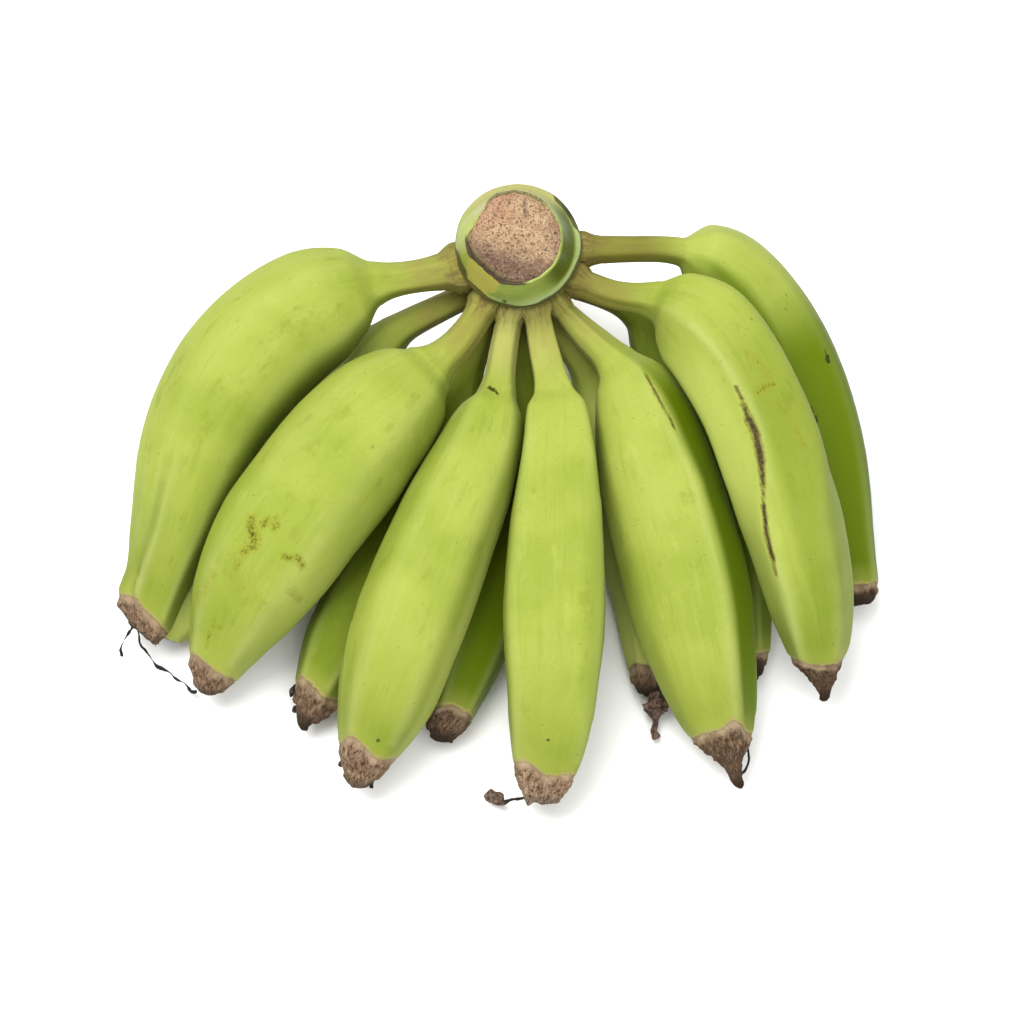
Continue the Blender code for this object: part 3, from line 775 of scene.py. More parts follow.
def skin_material(name, light, deep, olive):
    s = Shader(name)
    flow = s.field("flow", vector=True)
    broad = s.noise(flow, 0.030, 2.0, 0.5)
    patchy = s.noise(flow, 0.11, 3.0, 0.55)
    streaks = s.noise(s.scaled(flow, (0.62, 0.62, 0.045)), 1.0, 3.0, 0.6)
    fine = s.noise(flow, 1.1, 3.0, 0.6)
    cork = s.field("cork")
    stem = s.field("stem")
    root = s.field("root")

    # green, yellower on the broad patches, with faint lengthwise streaks
    how_deep = s.math("ADD", s.window(broad, 0.36, 0.66), s.window(patchy, 0.35, 0.7, -0.18, 0.18, False), clamp=True)
    colour = s.mix(how_deep, light, deep)
    colour = s.mix(s.window(streaks, 0.52, 0.74, 0.0, 0.22), colour, tone(208, 220, 124))
    colour = s.mix(s.window(streaks, 0.46, 0.26, 0.0, 0.2), colour, tone(134, 162, 42))
    colour = s.mix(s.window(fine, 0.58, 0.72, 0.0, 0.22), colour, tone(128, 150, 48))
    smudge = s.noise(s.scaled(flow, (0.17, 0.17, 0.08)), 1.0, 4.0, 0.65)
    colour = s.mix(s.window(smudge, 0.57, 0.7, 0.0, 0.34), colour, tone(146, 160, 44))
    colour = s.mix(s.window(smudge, 0.43, 0.3, 0.0, 0.3), colour, tone(212, 222, 106))
    # painted light (a lighter green) and painted shade (a deeper green) on the peel
    colour = s.mix(s.field("peel_painted_light"), colour, tone(224, 238, 122))
    colour = s.mix(s.field("deep"), colour, tone(118, 142, 14))
    # the corners are paler
    colour = s.mix(s.math("MULTIPLY", s.field("ridge"), 0.34), colour, tone(206, 216, 138))
    # the pale strokes along the ridges and beside the groove are a painted highlight
    colour = s.mix(s.math("MULTIPLY", s.field("pale"), 0.34), colour, tone(212, 220, 140))
    # painted shade: the groove is made a darker green
    colour = s.mix(s.math("MULTIPLY", s.field("groove_painted_shade"), 0.45), colour, tone(120, 142, 48))
    # the neck turns olive and yellow, and the root brownish
    neck_tint = s.math("MULTIPLY", stem, s.window(patchy, 0.30, 0.62, 0.45, 1.0))
    colour = s.mix(neck_tint, colour, olive)
    neck = s.field("neck")
    colour = s.mix(s.math("MULTIPLY", stem, s.window(neck, 0.0, 1.0, smooth=False)), colour, tone(124, 114, 44))
    colour = s.mix(s.math("MULTIPLY", stem, s.window(neck, 0.0, -1.0, smooth=False)), colour, tone(220, 226, 130))
    tan = s.math("MULTIPLY", root, s.window(streaks, 0.36, 0.62, 0.35, 1.0))
    colour = s.mix(s.math("MULTIPLY", tan, 0.75), colour, tone(150, 134, 70))
    smear = s.noise(s.scaled(flow, (0.30, 0.30, 0.16)), 1.0, 3.0, 0.65)
    colour = s.mix(s.math("MULTIPLY", root, s.window(smear, 0.5, 0.64, 0.0, 0.75)), colour, tone(136, 110, 74))
    colour = s.mix(s.math("MULTIPLY", root, s.window(smear, 0.44, 0.34, 0.0, 0.5)), colour, tone(196, 172, 130))
    # small natural specks
    body_only = s.math("SUBTRACT", 1.0, stem)
    dots = s.cells(flow, 0.17)
    colour = s.mix(s.math("MULTIPLY", s.window(dots, 0.05, 0.025, 0.0, 0.6), body_only), colour, tone(98, 108, 40))
    dots = s.cells(s.scaled(flow, (1.0, 1.0, 0.8)), 0.47)
    colour = s.mix(s.math("MULTIPLY", s.window(dots, 0.11, 0.05, 0.0, 0.32), body_only), colour, tone(134, 148, 56))
    flecks = s.cells(s.scaled(flow, (1.0, 1.0, 0.7)), 0.088)
    flecks = s.window(s.math("ADD", flecks, s.math("MULTIPLY", s.math("SUBTRACT", fine, 0.5), 0.12)), 0.05, 0.02, 0.0, 0.6)
    colour = s.mix(s.math("MULTIPLY", flecks, body_only), colour, tone(124, 122, 40))
    # blemishes, each a soft stroke made ragged by noise
    blotch = s.noise(flow, 0.55, 4.0, 0.7)
    speck = s.noise(flow, 1.25, 3.0, 0.7)
    rust = s.field("rust")
    halo = s.window(s.math("ADD", rust, s.math("MULTIPLY", s.math("SUBTRACT", blotch, 0.5), 1.2)), 0.12, 0.8)
    colour = s.mix(s.math("MULTIPLY", halo, s.window(rust, 0.02, 0.3, 0.0, 0.5)), colour, tone(172, 170, 50))
    core = s.window(s.math("ADD", rust, s.math("MULTIPLY", s.math("SUBTRACT", speck, 0.5), 2.6)), 0.62, 1.1)
    colour = s.mix(s.math("MULTIPLY", core, s.window(rust, 0.15, 0.5, 0.0, 0.8)), colour, tone(112, 116, 34))
    scar = s.field("scar")
    edge = s.math("ADD", scar, s.math("MULTIPLY", s.math("SUBTRACT", blotch, 0.5), 0.9))
    colour = s.mix(s.math("MULTIPLY", s.window(edge, 0.05, 0.45), s.window(scar, 0.03, 0.2, 0.0, 0.75)), colour, tone(140, 130, 58))
    scar_core = s.math("MULTIPLY", s.window(edge, 0.45, 0.8, 0.0, 0.95), s.window(scar, 0.1, 0.4))
    colour = s.mix(scar_core, colour, s.mix(s.window(speck, 0.42, 0.58), tone(64, 56, 36), tone(104, 90, 62)))
    spot = s.field("spot")
    dark = s.window(s.math("ADD", spot, s.math("MULTIPLY", s.math("SUBTRACT", blotch, 0.5), 1.3)), 0.4, 0.8)
    colour = s.mix(s.math("MULTIPLY", dark, s.window(spot, 0.1, 0.4, 0.0, 0.9)), colour, tone(62, 56, 26))
    # yellow, then tan, then cork towards the tip
    near = s.math("ADD", cork, s.math("MULTIPLY", s.math("SUBTRACT", fine, 0.5), 2.4))
    colour = s.mix(s.window(cork, -9.0, -1.0, 0.0, 0.38), colour, tone(196, 204, 96))
    colour = s.mix(s.window(near, -1.9, -0.5, 0.0, 0.85), colour, tone(204, 186, 122))
    corky, grain = cork_colour(s, flow)
    is_cork = s.window(near, -0.7, 0.2)
    pale_rim = s.math("MULTIPLY", s.window(cork, 3.0, 0.5), s.window(patchy, 0.38, 0.58, 0.35, 0.9))
    corky = s.mix(pale_rim, corky, tone(240, 210, 170))
    colour = s.mix(is_cork, colour, corky)

    roughness = s.window(patchy, 0.3, 0.7, 0.44, 0.54, False)
    roughness = s.mix(is_cork, roughness, (0.92, 0.92, 0.92, 1.0))
    dull = s.math("MAXIMUM", scar_core, s.math("MULTIPLY", root, 0.8), clamp=True)
    roughness = s.mix(dull, roughness, (0.68, 0.68, 0.68, 1.0))

    skin_height = s.math("ADD", s.math("MULTIPLY", fine, 0.25), s.math("MULTIPLY", streaks, 0.6))
    skin_height = s.math("ADD", skin_height, s.math("MULTIPLY", scar_core, -1.2))
    normal = s.bump(skin_height, 0.00012)
    cork_height = s.math("MULTIPLY", s.math("ADD", grain, s.noise(flow, 4.2, 2.0, 0.6)), is_cork)
    normal = s.bump(cork_height, 0.0006, after=normal)
    return s.finish(colour, roughness, normal, 0.08, 1.36)



# ------------------------------------------------------------------- stalk
STALK_PROFILE = [
    (-62.0, 13.6), (-46.0, 14.3), (-35.0, 15.6), (-29.0, 17.0), (-19.0, 17.4), (-15.5, 19.3),
    (-12.5, 20.5), (-8.0, 20.9), (-4.6, 20.8), (-3.2, 20.3), (-2.2, 19.5), (-1.5, 19.6), (-0.8, 20.9),
    (0.0, 21.5), (0.9, 21.5), (1.6, 21.0), (2.2, 20.0), (3.2, 19.1), (5.0, 18.3), (8.0, 17.6), (11.0, 17.2), (14.5, 16.8),
    (16.3, 16.5), (16.8, 16.2), (CUT_HEIGHT, 15.7),
]  # fmt: skip
FULL_FLANK = [(-62.0, 0.0), (1.4, 0.0), (2.4, 1.0), (3.5, 1.3), (7.5, 1.6), (11.0, 1.1), (15.0, 0.2), (CUT_HEIGHT, 0.0)]


def stalk_surface():
    sides = 184
    angles = np.linspace(0, 2 * np.pi, sides, endpoint=False)
    degrees = np.degrees(angles)
    round_ = np.cos(angles)[:, None] * ACROSS + np.sin(angles)[:, None] * BEHIND
    heights = np.concatenate([
        np.linspace(-62, -30, 36, endpoint=False),
        np.linspace(-30, -16, 26, endpoint=False),
        np.linspace(-16, -4.6, 34, endpoint=False),
        np.linspace(-4.6, 2.2, 44, endpoint=False),
        np.linspace(2.2, 16.2, 42, endpoint=False),
        np.linspace(16.2, CUT_HEIGHT, 9),
    ])  # fmt: skip
    h = heights[:, None]
    radius = steady(*zip(*STALK_PROFILE))(h) * np.ones(sides)
    place = np.stack(np.broadcast_arrays(radius * np.cos(angles), radius * np.sin(angles), h), axis=-1)

    def sector(middle, reach, fade):
        away = np.abs((degrees - middle + 180) % 360 - 180)
        return (1 - soft(away, reach - fade, reach))[None, :]

    # the left side of the collar is full; the right side is a smooth hollow
    radius = radius + steady(*zip(*FULL_FLANK))(h) * sector(215, 85, 45)
    # a flat facet under the cut face, at the front on the left
    away = np.radians((degrees - 228 + 180) % 360 - 180)[None, :]
    flat = np.where(
        (h > 1.0) & (np.abs(away) < 0.6), (14.7 + (CUT_HEIGHT - h) * 0.375) / np.cos(np.clip(away, -0.6, 0.6)), 99.0
    )
    facet_painted_light = soft(radius - flat, -0.25, 0.25) * (h > 1.0)
    radius = np.minimum(radius, flat)
    # lumps where the fingers join, and furrows between them
    joined = np.zeros_like(radius)
    for name, finger in FINGERS.items():
        at, _ = finger["row"]
        apart = np.abs((degrees - finger["angle"] + 180) % 360 - 180) * np.pi / 180 * 20.0
        wide = 6.0 if "front" in name else 4.6
        joined = np.maximum(joined, np.exp(-((apart[None, :] / wide) ** 2)) * np.exp(-(((h - at) / 6.2) ** 2)))
    crown = soft(h, -32.0, -27.0) * (1 - soft(h, -4.6, -3.4))
    front_side = sector(275, 118, 30)
    radius = radius + 1.3 * joined - 0.7 * crown * front_side * (1 - joined) * soft(h, -16, -12)
    # unevenness: slow, lengthwise flutes, fine folds by the fingers
    radius = radius + 0.28 * layers(place / 13.0, 41, 2) + 0.10 * layers(place / 4.0, 43, 2)
    flutes = np.stack(np.broadcast_arrays(3.2 * np.cos(angles), 3.2 * np.sin(angles), h * 0.03), axis=-1)
    radius = radius + 0.30 * noise(flutes * 2.2, 45) * (1 - soft(h, -20, -12))
    folds = np.stack(np.broadcast_arrays(9.0 * np.cos(angles), 9.0 * np.sin(angles), h * 0.22), axis=-1)
    radius = radius + 0.34 * noise(folds, 47) * crown * soft(h, -18, -12)
    # the collar slopes in more at the back on the left, below the cut
    radius = radius - 1.9 * sector(147, 36, 26) * soft(h, 6.0, CUT_HEIGHT)
    # chips along the edge of the cut
    chips = layers(np.stack(np.broadcast_arrays(8 * np.cos(angles), 8 * np.sin(angles), 0 * h), axis=-1), 49, 3)
    radius = radius + 0.28 * chips * soft(h, 15.6, 16.8)

    rim_top = 1.3 + 3.4 * sector(199, 18, 10) + 0.9 * sector(34, 24, 10) + 0.4 * sector(318, 36, 16) + 0.9 * sector(230, 48, 22)
    rim_top = rim_top - 0.7 * sector(100, 50, 20)
    fields = {
        "face": np.zeros_like(radius),
        "rimline": (1 - soft(h, rim_top - 0.2, rim_top + 0.3)) * soft(h, -3.0, -2.0),
        # painted light: the front band of the collar, which faces down, is made lighter
        "bottom": sector(275, 74, 30) * soft(h, 0.9, 2.2),
        # painted light: the facet is made brighter as well as yellower
        "facet_painted_light": facet_painted_light,
        # painted shade: the hollow on the right is made a darker green
        "hollow_painted_shade": sector(-3, 62, 30) * soft(radius, 20.3, 19.2) * soft(h, 1.2, 2.0) * (1 - soft(h, 15.4, 16.6)),
        # painted highlight along the lip, on the right and at the front
        "lip_painted_highlight": (sector(-22, 92, 40) * soft(radius, 19.3, 20.5) + 0.7 * sector(270, 60, 30) * soft(radius, 18.4, 20.4)).clip(0, 1) * soft(h, -1.0, 0.0),
        "top": sector(98, 66, 30) * soft(h, -1.2, 1.0),
        # painted light on the left of the collar
        "left_painted_light": sector(178, 52, 30) * soft(h, -1.0, 1.0),
        # painted shade in the crease under the lip
        "crease_painted_shade": np.exp(-(((h + 0.9) / 0.75) ** 2)) * np.ones(sides) * (0.45 + 0.55 * sector(212, 34, 14) + 0.55 * sector(318, 40, 18) + 0.3 * sector(235, 40, 14)),
        "edge": soft(h, 15.9, 16.7) * (0.36 + 0.64 * sector(232, 62, 22) + 0.26 * sector(88, 58, 30)),
        "furrow": crown * front_side * (1 - joined) * soft(h, -17, -12),
        "joined": joined,
        "height": h * np.ones(sides),
        # painted shadow: a dark patch at the lip's upper right, with no notch in the shape
        "notch_painted_shadow": np.exp(-(((degrees[None, :] - 33) / 13.0) ** 2)) * np.exp(-(((h - 0.9) / 1.7) ** 2)),
        "spot": np.exp(-(((degrees[None, :] - 258) / 2.8) ** 2)) * np.exp(-(((h - 3.3) / 1.3) ** 2)),
    }  # fmt: skip

    rise = np.maximum(heights, 0.0)[:, None] / CUT_HEIGHT
    shift = rise * (FACE_OFFSET * ACROSS + FACE_DROP * BEHIND)
    shift = shift + (HEEL * (np.minimum(heights - HEEL_START, 0.0) / HEEL_START) ** 2)[:, None] * BEHIND
    rings = RING + heights[:, None, None] * AXIS + shift[:, None] + radius[..., None] * round_[None]

    # the cut face, slightly domed and torn
    inner = 1 - np.linspace(0, 1, 74)[1:-1] ** 1.15
    q = inner[:, None]
    edge = radius[-1][None, :]
    spread = np.stack(np.broadcast_arrays(q * edge * np.cos(angles), q * edge * np.sin(angles), 0 * q), axis=-1)
    dome = 0.75 * (1 - q**2) + 0.30 * layers(spread / 2.6, 51, 3) + 0.22 * layers(spread / 0.9, 53, 2)
    dome = dome - 0.5 * np.exp(-(((1 - q) * 16.0 / 1.1) ** 2))
    up_face = CUT_HEIGHT + dome
    face = RING + up_face[..., None] * AXIS + (FACE_OFFSET * ACROSS + FACE_DROP * BEHIND) + (q * edge)[..., None] * round_[None]

    # the foot, cut level
    down = rings[0] - rings[1]
    foot = rings[0] - (rings[0][:, 2] / down[:, 2])[:, None] * down
    legs = foot + np.linspace(0, 1, 14)[:-1, None, None] * (rings[0] - foot)
    under = foot.mean(axis=0) + np.linspace(0.05, 0.985, 12)[:, None, None] * (foot - foot.mean(axis=0))
    under = under + 0.0
    grid = np.concatenate([under, legs, rings, face])

    rows = {"under": len(under), "legs": len(legs), "face": len(face)}
    full = {}
    fields["crease_painted_shade"] = fields["crease_painted_shade"].clip(0, 1)
    for key, values in fields.items():
        first, last = values[:1], values[-1:]
        lower = np.repeat(first, rows["under"] + rows["legs"], axis=0)
        upper = np.repeat(last, rows["face"], axis=0)
        if key == "face":
            lower[: rows["under"]] = 1.0
            upper[:] = 1.0
        elif key == "edge":
            wide = 0.8 + 1.7 * sector(228, 42, 22)
            upper = np.exp(-(((1 - q) * 16.0 / wide) ** 2)) * (0.36 + 0.64 * sector(232, 62, 22) + 0.26 * sector(88, 58, 30))
        elif key not in ("height",):
            upper = upper * 0.0
        full[key] = np.concatenate([lower, values, upper])
    local = grid - RING
    full["flow"] = np.stack([local @ ACROSS, local @ BEHIND, local @ AXIS], axis=-1)
    grid = grid - MIDDLE
    grid[..., 2] = np.maximum(grid[..., 2], 0.0)
    return grid, full


def stalk_material():
    s = Shader("stalk_skin")
    flow = s.field("flow", vector=True)
    broad = s.noise(flow, 0.07, 2.0, 0.5)
    patchy = s.noise(flow, 0.28, 3.0, 0.6)
    streaks = s.noise(s.scaled(flow, (0.8, 0.8, 0.07)), 1.0, 3.0, 0.6)
    fine = s.noise(flow, 1.5, 3.0, 0.65)
    height = s.field("height")

    colour = s.mix(s.window(broad, 0.35, 0.65), tone(184, 202, 92), tone(166, 188, 78))
    colour = s.mix(s.window(height, -6.0, -20.0, 0.0, 0.6), colour, tone(132, 146, 62))
    colour = s.mix(s.window(streaks, 0.5, 0.7, 0.0, 0.3), colour, tone(178, 192, 108))
    colour = s.mix(s.window(streaks, 0.47, 0.3, 0.0, 0.35), colour, tone(104, 118, 46))
    colour = s.mix(s.window(fine, 0.6, 0.74, 0.0, 0.3), colour, tone(106, 96, 52))
    soften = s.window(patchy, 0.3, 0.6, 0.65, 1.0)
    # painted light on the left of the collar
    colour = s.mix(s.math("MULTIPLY", s.field("left_painted_light"), soften), colour, tone(196, 212, 84))
    # painted light on the front band of the collar
    colour = s.mix(s.math("MULTIPLY", s.field("bottom"), soften), colour, tone(212, 234, 118))
    # painted shade in the hollow on the right
    colour = s.mix(s.math("MULTIPLY", s.field("hollow_painted_shade"), s.window(broad, 0.3, 0.6, 0.8, 1.0)), colour, tone(110, 126, 14))
    # painted highlight along the lip
    colour = s.mix(s.math("MULTIPLY", s.field("lip_painted_highlight"), soften), colour, tone(200, 222, 140))
    colour = s.mix(s.math("MULTIPLY", s.field("top"), s.window(streaks, 0.3, 0.6, 0.7, 1.0)), colour, tone(206, 202, 124))
    # yellow facet, brightened as painted light where it faces down into shade
    colour = s.mix(s.math("MULTIPLY", s.field("facet_painted_light"), 0.85), colour, tone(250, 236, 110))
    colour = s.mix(s.math("MULTIPLY", s.field("joined"), 0.55), colour, tone(150, 140, 72))
    ragged = s.math("ADD", s.field("furrow"), s.math("MULTIPLY", s.math("SUBTRACT", patchy, 0.5), 1.1))
    colour = s.mix(s.window(ragged, 0.25, 0.75, 0.0, 0.8), colour, tone(96, 82, 46))
    # painted shade in the crease under the lip, dark olive-brown
    ragged = s.math("ADD", s.field("crease_painted_shade"), s.math("MULTIPLY", s.math("SUBTRACT", patchy, 0.5), 0.8))
    colour = s.mix(s.window(ragged, 0.25, 0.75, 0.0, 0.92), colour, tone(74, 66, 34))
    ragged = s.math("ADD", s.field("rimline"), s.math("MULTIPLY", s.math("SUBTRACT", patchy, 0.5), 0.9))
    colour = s.mix(s.window(ragged, 0.3, 0.8, 0.0, 0.88), colour, tone(84, 74, 36))
    # painted shadow at the lip's upper right
    colour = s.mix(s.window(s.field("notch_painted_shadow"), 0.3, 0.8, 0.0, 0.85), colour, tone(50, 54, 22))
    colour = s.mix(s.window(s.field("spot"), 0.3, 0.8, 0.0, 0.8), colour, tone(70, 76, 28))
    ragged = s.math("ADD", s.field("edge"), s.math("MULTIPLY", s.math("SUBTRACT", fine, 0.5), 0.8))
    edge = s.window(ragged, 0.3, 0.8, 0.0, 0.95)
    colour = s.mix(edge, colour, tone(88, 62, 52))

    # the cut face: tan and pink fibres, purplish towards the rim, dark pores
    split = s.tree.nodes.new("ShaderNodeSeparateXYZ")
    s.tree.links.new(flow, split.inputs[0])
    x, y = split.outputs[0], split.outputs[1]
    speckle = s.noise(flow, 1.25, 2.0, 0.75)
    cut = s.mix(s.window(patchy, 0.36, 0.62), tone(250, 214, 166), tone(232, 190, 144))
    pink = s.math("MULTIPLY", s.window(x, 4.0, -7.0), s.window(y, 0.0, 9.0))
    cut = s.mix(s.math("MULTIPLY", pink, s.window(fine, 0.4, 0.6, 0.25, 0.75)), cut, tone(226, 158, 132))
    low = s.math("ADD", s.math("MULTIPLY", x, -0.35), s.math("MULTIPLY", y, -1.0))
    cut = s.mix(s.window(s.math("ADD", low, s.math("MULTIPLY", patchy, 7.0)), 5.0, 16.0, 0.0, 0.85), cut, tone(124, 90, 80))
    right = s.math("ADD", x, s.math("MULTIPLY", patchy, 5.0))
    cut = s.mix(s.window(right, 9.0, 16.5, 0.0, 0.5), cut, tone(158, 116, 100))
    cut = s.mix(s.window(fine, 0.55, 0.66, 0.0, 0.6), cut, tone(240, 212, 176))
    cut = s.mix(s.window(fine, 0.46, 0.34, 0.0, 0.5), cut, tone(158, 112, 84))
    cut = s.mix(s.window(speckle, 0.46, 0.37, 0.0, 0.8), cut, tone(124, 84, 62))
    pores = s.cells(flow, 0.74)
    deep = s.cells(flow, 0.33)
    pore = s.math("MAXIMUM", s.window(pores, 0.31, 0.12, 0.0, 0.65), s.window(deep, 0.2, 0.1))
    cut = s.mix(s.math("MULTIPLY", pore, s.window(patchy, 0.35, 0.6, 0.75, 0.3)), cut, tone(102, 68, 50))
    line = s.math("MULTIPLY", s.window(s.math("ABSOLUTE", s.math("SUBTRACT", x, 2.4)), 1.1, 0.3), s.math("MULTIPLY", s.window(y, 4.0, 6.5), s.window(y, 12.5, 10.0)))
    cut = s.mix(s.math("MULTIPLY", line, 0.5), cut, tone(104, 84, 84))
    face = s.field("face")
    torn = s.math("MULTIPLY", face, s.math("SUBTRACT", 1.0, edge))
    colour = s.mix(torn, colour, cut)

    roughness = s.window(patchy, 0.3, 0.7, 0.44, 0.56, False)
    roughness = s.mix(s.math("MAXIMUM", face, s.window(ragged, 0.3, 0.8)), roughness, (0.9, 0.9, 0.9, 1.0))
    height_skin = s.math("ADD", s.math("MULTIPLY", streaks, 0.8), s.math("MULTIPLY", fine, 0.4))
    normal = s.bump(height_skin, 0.00025)
    rough_face = s.math("MULTIPLY", s.math("SUBTRACT", fine, s.math("MULTIPLY", pore, 0.9)), face)
    normal = s.bump(rough_face, 0.0008, after=normal)
    return s.finish(colour, roughness, normal, 0.4)


# ----------------------------------------------------------- dried remains
# points along each one, in millimetres, with the radius there, how rugged it is, sides and rings
REMAINS = {
    "dried_thread_a": ([(-123.2, -35.5, 12.2, 0.6), (-124.9, -35.3, 11.0, 0.6), (-126.3, -36.9, 9.6, 0.7), (-125.3, -39.2, 8.0, 0.3), (-126.4, -41.5, 6.6, 0.45), (-128.1, -44.0, 5.4, 0.12), (-129.1, -46.4, 4.0, 0.35), (-128.7, -48.9, 3.0, 0.5)], 0.7, 9, 90),
    "dried_thread_b": ([(-123.1, -37.7, 10.4, 0.7), (-123.1, -41.6, 8.2, 0.25), (-122.3, -45.5, 6.8, 0.3), (-120.2, -48.3, 5.6, 0.35), (-118.1, -50.7, 5.0, 0.1), (-115.9, -53.5, 4.4, 0.55), (-114.2, -54.1, 4.0, 0.45), (-111.8, -55.3, 3.4, 0.14), (-109.3, -57.7, 3.0, 0.36), (-106.9, -58.7, 2.6, 0.12), (-104.8, -61.3, 2.4, 0.55), (-102.2, -62.6, 3.6, 0.5)], 0.7, 9, 150),
    "dried_style": ([(10.5, -104.1, 9.9, 0.5), (9.6, -104.1, 9.0, 0.5), (7.3, -104.2, 7.6, 0.5), (4.3, -104.0, 6.2, 0.45), (2.3, -104.2, 5.2, 1.0), (0.7, -103.2, 4.6, 2.1), (-1.7, -101.6, 4.2, 2.0), (-3.0, -100.0, 4.0, 1.7)], 0.32, 20, 110),
    "dried_loop": ([(81.7, -86.5, 14.4, 0.6), (82.6, -86.0, 14.0, 0.7), (83.6, -88.7, 12.6, 0.45), (83.8, -91.6, 11.0, 0.35), (83.0, -93.8, 9.4, 0.4), (81.3, -95.9, 8.4, 0.55)], 0.5, 9, 80),
    "dried_flower": ([(53.5, -62.5, 8.0, 2.4), (53.8, -65.2, 7.2, 2.2), (54.1, -67.7, 6.2, 3.4), (53.7, -70.3, 5.4, 3.6), (53.4, -72.3, 4.8, 1.6), (53.3, -75.0, 4.2, 1.0), (53.3, -78.0, 3.4, 1.1), (54.0, -79.9, 2.8, 1.8)], 0.36, 30, 150),
}  # fmt: skip
# small bits that still cling to other tips
CRUMBS = {
    "crumb_a": ([(-68.2, -62.3, 9.0, 0.5), (-69.5, -64.8, 8.0, 0.9), (-70.2, -66.4, 7.4, 0.4)], 0.5, 12, 40),
    "crumb_b": ([(-66.5, -69.8, 7.4, 0.6), (-68.0, -70.3, 7.0, 0.7), (-68.7, -71.8, 6.2, 0.8)], 0.5, 12, 40),
    "crumb_c": ([(-49.3, -92.5, 12.2, 0.5), (-50.3, -90.8, 11.0, 0.4), (-51.7, -92.0, 9.6, 0.9), (-52.4, -93.0, 8.6, 0.5)], 0.5, 12, 40),
    "crumb_d": ([(-42.7, -97.9, 10.3, 0.5), (-41.6, -98.2, 8.0, 0.5), (-42.3, -99.7, 6.4, 0.8)], 0.5, 12, 40),
    "crumb_e": ([(90.0, -55.7, 8.0, 1.0), (88.4, -57.7, 6.0, 0.7), (87.8, -59.3, 4.6, 0.5)], 0.5, 12, 40),
    "crumb_f": ([(-15.2, -79.8, 5.0, 0.7), (-15.6, -81.8, 3.6, 0.8)], 0.5, 12, 40),
    "crumb_i": ([(-122.8, -37.2, 10.9, 0.6), (-124.6, -35.8, 10.4, 0.6), (-125.3, -38.3, 9.2, 1.1), (-123.5, -40.1, 8.2, 0.9), (-122.2, -40.9, 7.6, 0.4)], 0.6, 14, 60),
}  # fmt: skip


def strand(points, rugged, sides, rings, seed):
    """A crooked, shrivelled strand through its points."""
    points = np.array(points, float)
    known = np.concatenate([[0.0], np.cumsum(np.linalg.norm(np.diff(points[:, :3], axis=0), axis=1))])
    way, thick = cubic(known, points[:, :3]), steady(known, points[:, 3])
    s = np.linspace(0, known[-1], rings)
    centre = way(s)
    along = unit(way(s + 0.02) - way(s - 0.02))
    side = unit(np.cross(along, np.array([0.31, 0.17, 0.93])))
    up = np.cross(side, along)
    angles = np.linspace(0, 2 * np.pi, sides, endpoint=False)
    ends = np.sqrt(np.clip(1 - (np.maximum(0.7 - s, 0) / 0.7) ** 2, 0, 1)) * np.sqrt(np.clip(1 - (np.maximum(s - s[-1] + 0.7, 0) / 0.7) ** 2, 0, 1))
    radius = (thick(s) * ends.clip(0.12, 1))[:, None] * np.ones(sides)
    spot = np.stack(np.broadcast_arrays(radius * np.cos(angles), radius * np.sin(angles), s[:, None] + 31.0 * seed), axis=-1)
    radius = radius * (1 + rugged * layers(spot / 1.3, seed, 3) + 0.5 * rugged * np.sin(3 * angles + s[:, None]))
    wander = 0.30 * rugged * noise(np.stack([s * 0.7, 0 * s, 0 * s + seed], axis=-1), seed + 3)
    centre = centre + wander[:, None] * side
    grid = centre[:, None] + (radius * np.cos(angles))[..., None] * side[:, None] + (radius * np.sin(angles))[..., None] * up[:, None]
    grid = grid - MIDDLE
    grid[..., 2] = np.maximum(grid[..., 2], 0.05)
    thin = soft(thick(s), 1.1, 0.7)[:, None] * np.ones(sides)
    return grid, {"flow": spot, "thin": thin}


def dried_material():
    s = Shader("dried_remains")
    flow = s.field("flow", vector=True)
    patches = s.noise(flow, 0.6, 3.0, 0.6)
    fibres = s.noise(s.scaled(flow, (2.4, 2.4, 0.35)), 1.0, 3.0, 0.6)
    colour = s.mix(s.window(patches, 0.40, 0.60), tone(74, 58, 50), tone(150, 120, 100))
    colour = s.mix(s.window(fibres, 0.54, 0.68, 0.0, 0.6), colour, tone(186, 158, 132))
    colour = s.mix(s.window(fibres, 0.46, 0.34, 0.0, 0.8), colour, tone(44, 36, 32))
    colour = s.mix(s.field("thin"), colour, tone(48, 42, 40))
    normal = s.bump(s.math("ADD", fibres, patches), 0.0004)
    return s.finish(colour, s.window(patches, 0.3, 0.7, 0.78, 0.95, False), normal, 0.3)


# ------------------------------------------------------------------- build
# The back peel is a darker copy of the front peel: painted shade for the back-row fingers under the front row. Back
# fingers 1 and 4 take the front peel.
SKIN_FRONT = skin_material("peel_front", tone(195, 210, 92), tone(177, 196, 76), tone(178, 174, 86))
SKIN_BACK_SHADED = skin_material("peel_back", tone(168, 186, 58), tone(148, 168, 46), tone(160, 164, 70))

for number, (name, finger) in enumerate(FINGERS.items()):
    front = "front" in name
    grid, fields = finger_surface(name, finger, 112 if front else 84, 1.0 if front else 0.8, number + 1)
    piece = mesh_object(name.replace("finger", "banana"), grid, fields, [SKIN_FRONT if front or name in ("finger_back_1", "finger_back_4") else SKIN_BACK_SHADED])
    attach(piece, "root")
    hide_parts(name)

grid, fields = stalk_surface()
stalk = mesh_object("cut_stalk", grid, fields, [stalk_material()])
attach(stalk, "root")
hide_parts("stalk")

DRIED = dried_material()
for number, (name, (points, rugged, sides, rings)) in enumerate(REMAINS.items()):
    grid, fields = strand(points, rugged, sides, rings, number + 60)
    piece = mesh_object(name.replace("dried", "withered"), grid, fields, [DRIED])
    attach(piece, "root")
    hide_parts(name)
for number, (name, (points, rugged, sides, rings)) in enumerate(CRUMBS.items()):
    grid, fields = strand(points, rugged, sides, rings, number + 80)
    piece = mesh_object(name, grid, fields, [DRIED])
    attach(piece, "root")

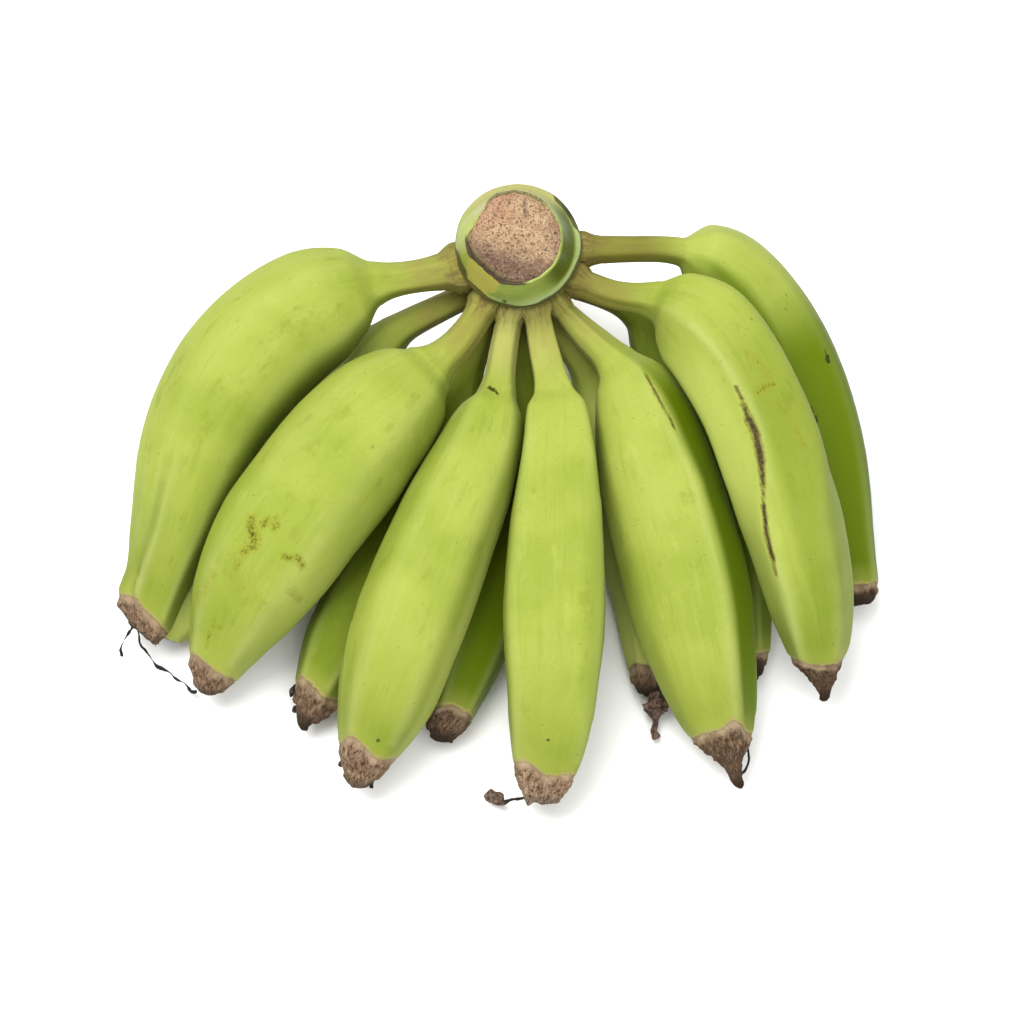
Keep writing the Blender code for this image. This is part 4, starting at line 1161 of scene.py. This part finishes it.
# ------------------------------------------------------------- the studio
def studio():
    floor_mesh = bpy.data.meshes.new("floor")
    floor_mesh.from_pydata([(-4, -4, 0), (4, -4, 0), (4, 4, 0), (-4, 4, 0)], [], [(0, 1, 2, 3)])
    floor = bpy.data.objects.new("floor", floor_mesh)
    floor.location.z = -0.0001
    bpy.context.scene.collection.objects.link(floor)
    s = Shader("pale_floor")
    where = s.tree.nodes.new("ShaderNodeNewGeometry").outputs["Position"]
    cloud = s.noise(where, 3.0, 2.0, 0.5)
    colour = s.mix(s.window(cloud, 0.3, 0.7), (0.83, 0.83, 0.83, 1), (0.85, 0.85, 0.845, 1))
    floor_mesh.materials.append(s.finish(colour, 0.85, None, 0.2))

    world = bpy.data.worlds.new("soft_studio")
    bpy.context.scene.world = world
    world.use_nodes = True
    world.node_tree.nodes["Background"].inputs["Color"].default_value = (1.0, 1.0, 1.0, 1.0)
    world.node_tree.nodes["Background"].inputs["Strength"].default_value = 0.72

    def lamp(name, place, aim, size, power, colour=(1, 1, 1)):
        data = bpy.data.lights.new(name, "AREA")
        data.shape = "DISK"
        data.size = size
        data.energy = power
        data.color = colour
        made = bpy.data.objects.new(name, data)
        made.location = place
        direction = np.array(aim, float) - np.array(place, float)
        from mathutils import Vector

        made.rotation_euler = Vector(direction).to_track_quat("-Z", "Y").to_euler()
        bpy.context.scene.collection.objects.link(made)

    lamp("key", (-0.42, 0.10, 1.30), (0, 0, 0.03), 1.1, 25.5, (1.0, 0.99, 0.97))
    lamp("top", (0.25, -0.40, 1.6), (0, 0, 0.03), 1.4, 11.0)
    lamp("fill", (0.45, -1.15, 0.85), (0, 0, 0.05), 1.0, 8.0)

    camera_data = bpy.data.cameras.new("camera")
    camera_data.sensor_width = 36.0
    camera_data.lens = 18.0 / 0.17408
    camera = bpy.data.objects.new("camera", camera_data)
    camera.location = (0.0045, -0.515, 0.901)
    camera.rotation_euler = (np.radians(30.0), 0.0, 0.0)
    bpy.context.scene.collection.objects.link(camera)
    bpy.context.scene.camera = camera
    bpy.context.scene.view_settings.view_transform = "Standard"
    bpy.context.scene.view_settings.look = "None"


studio()
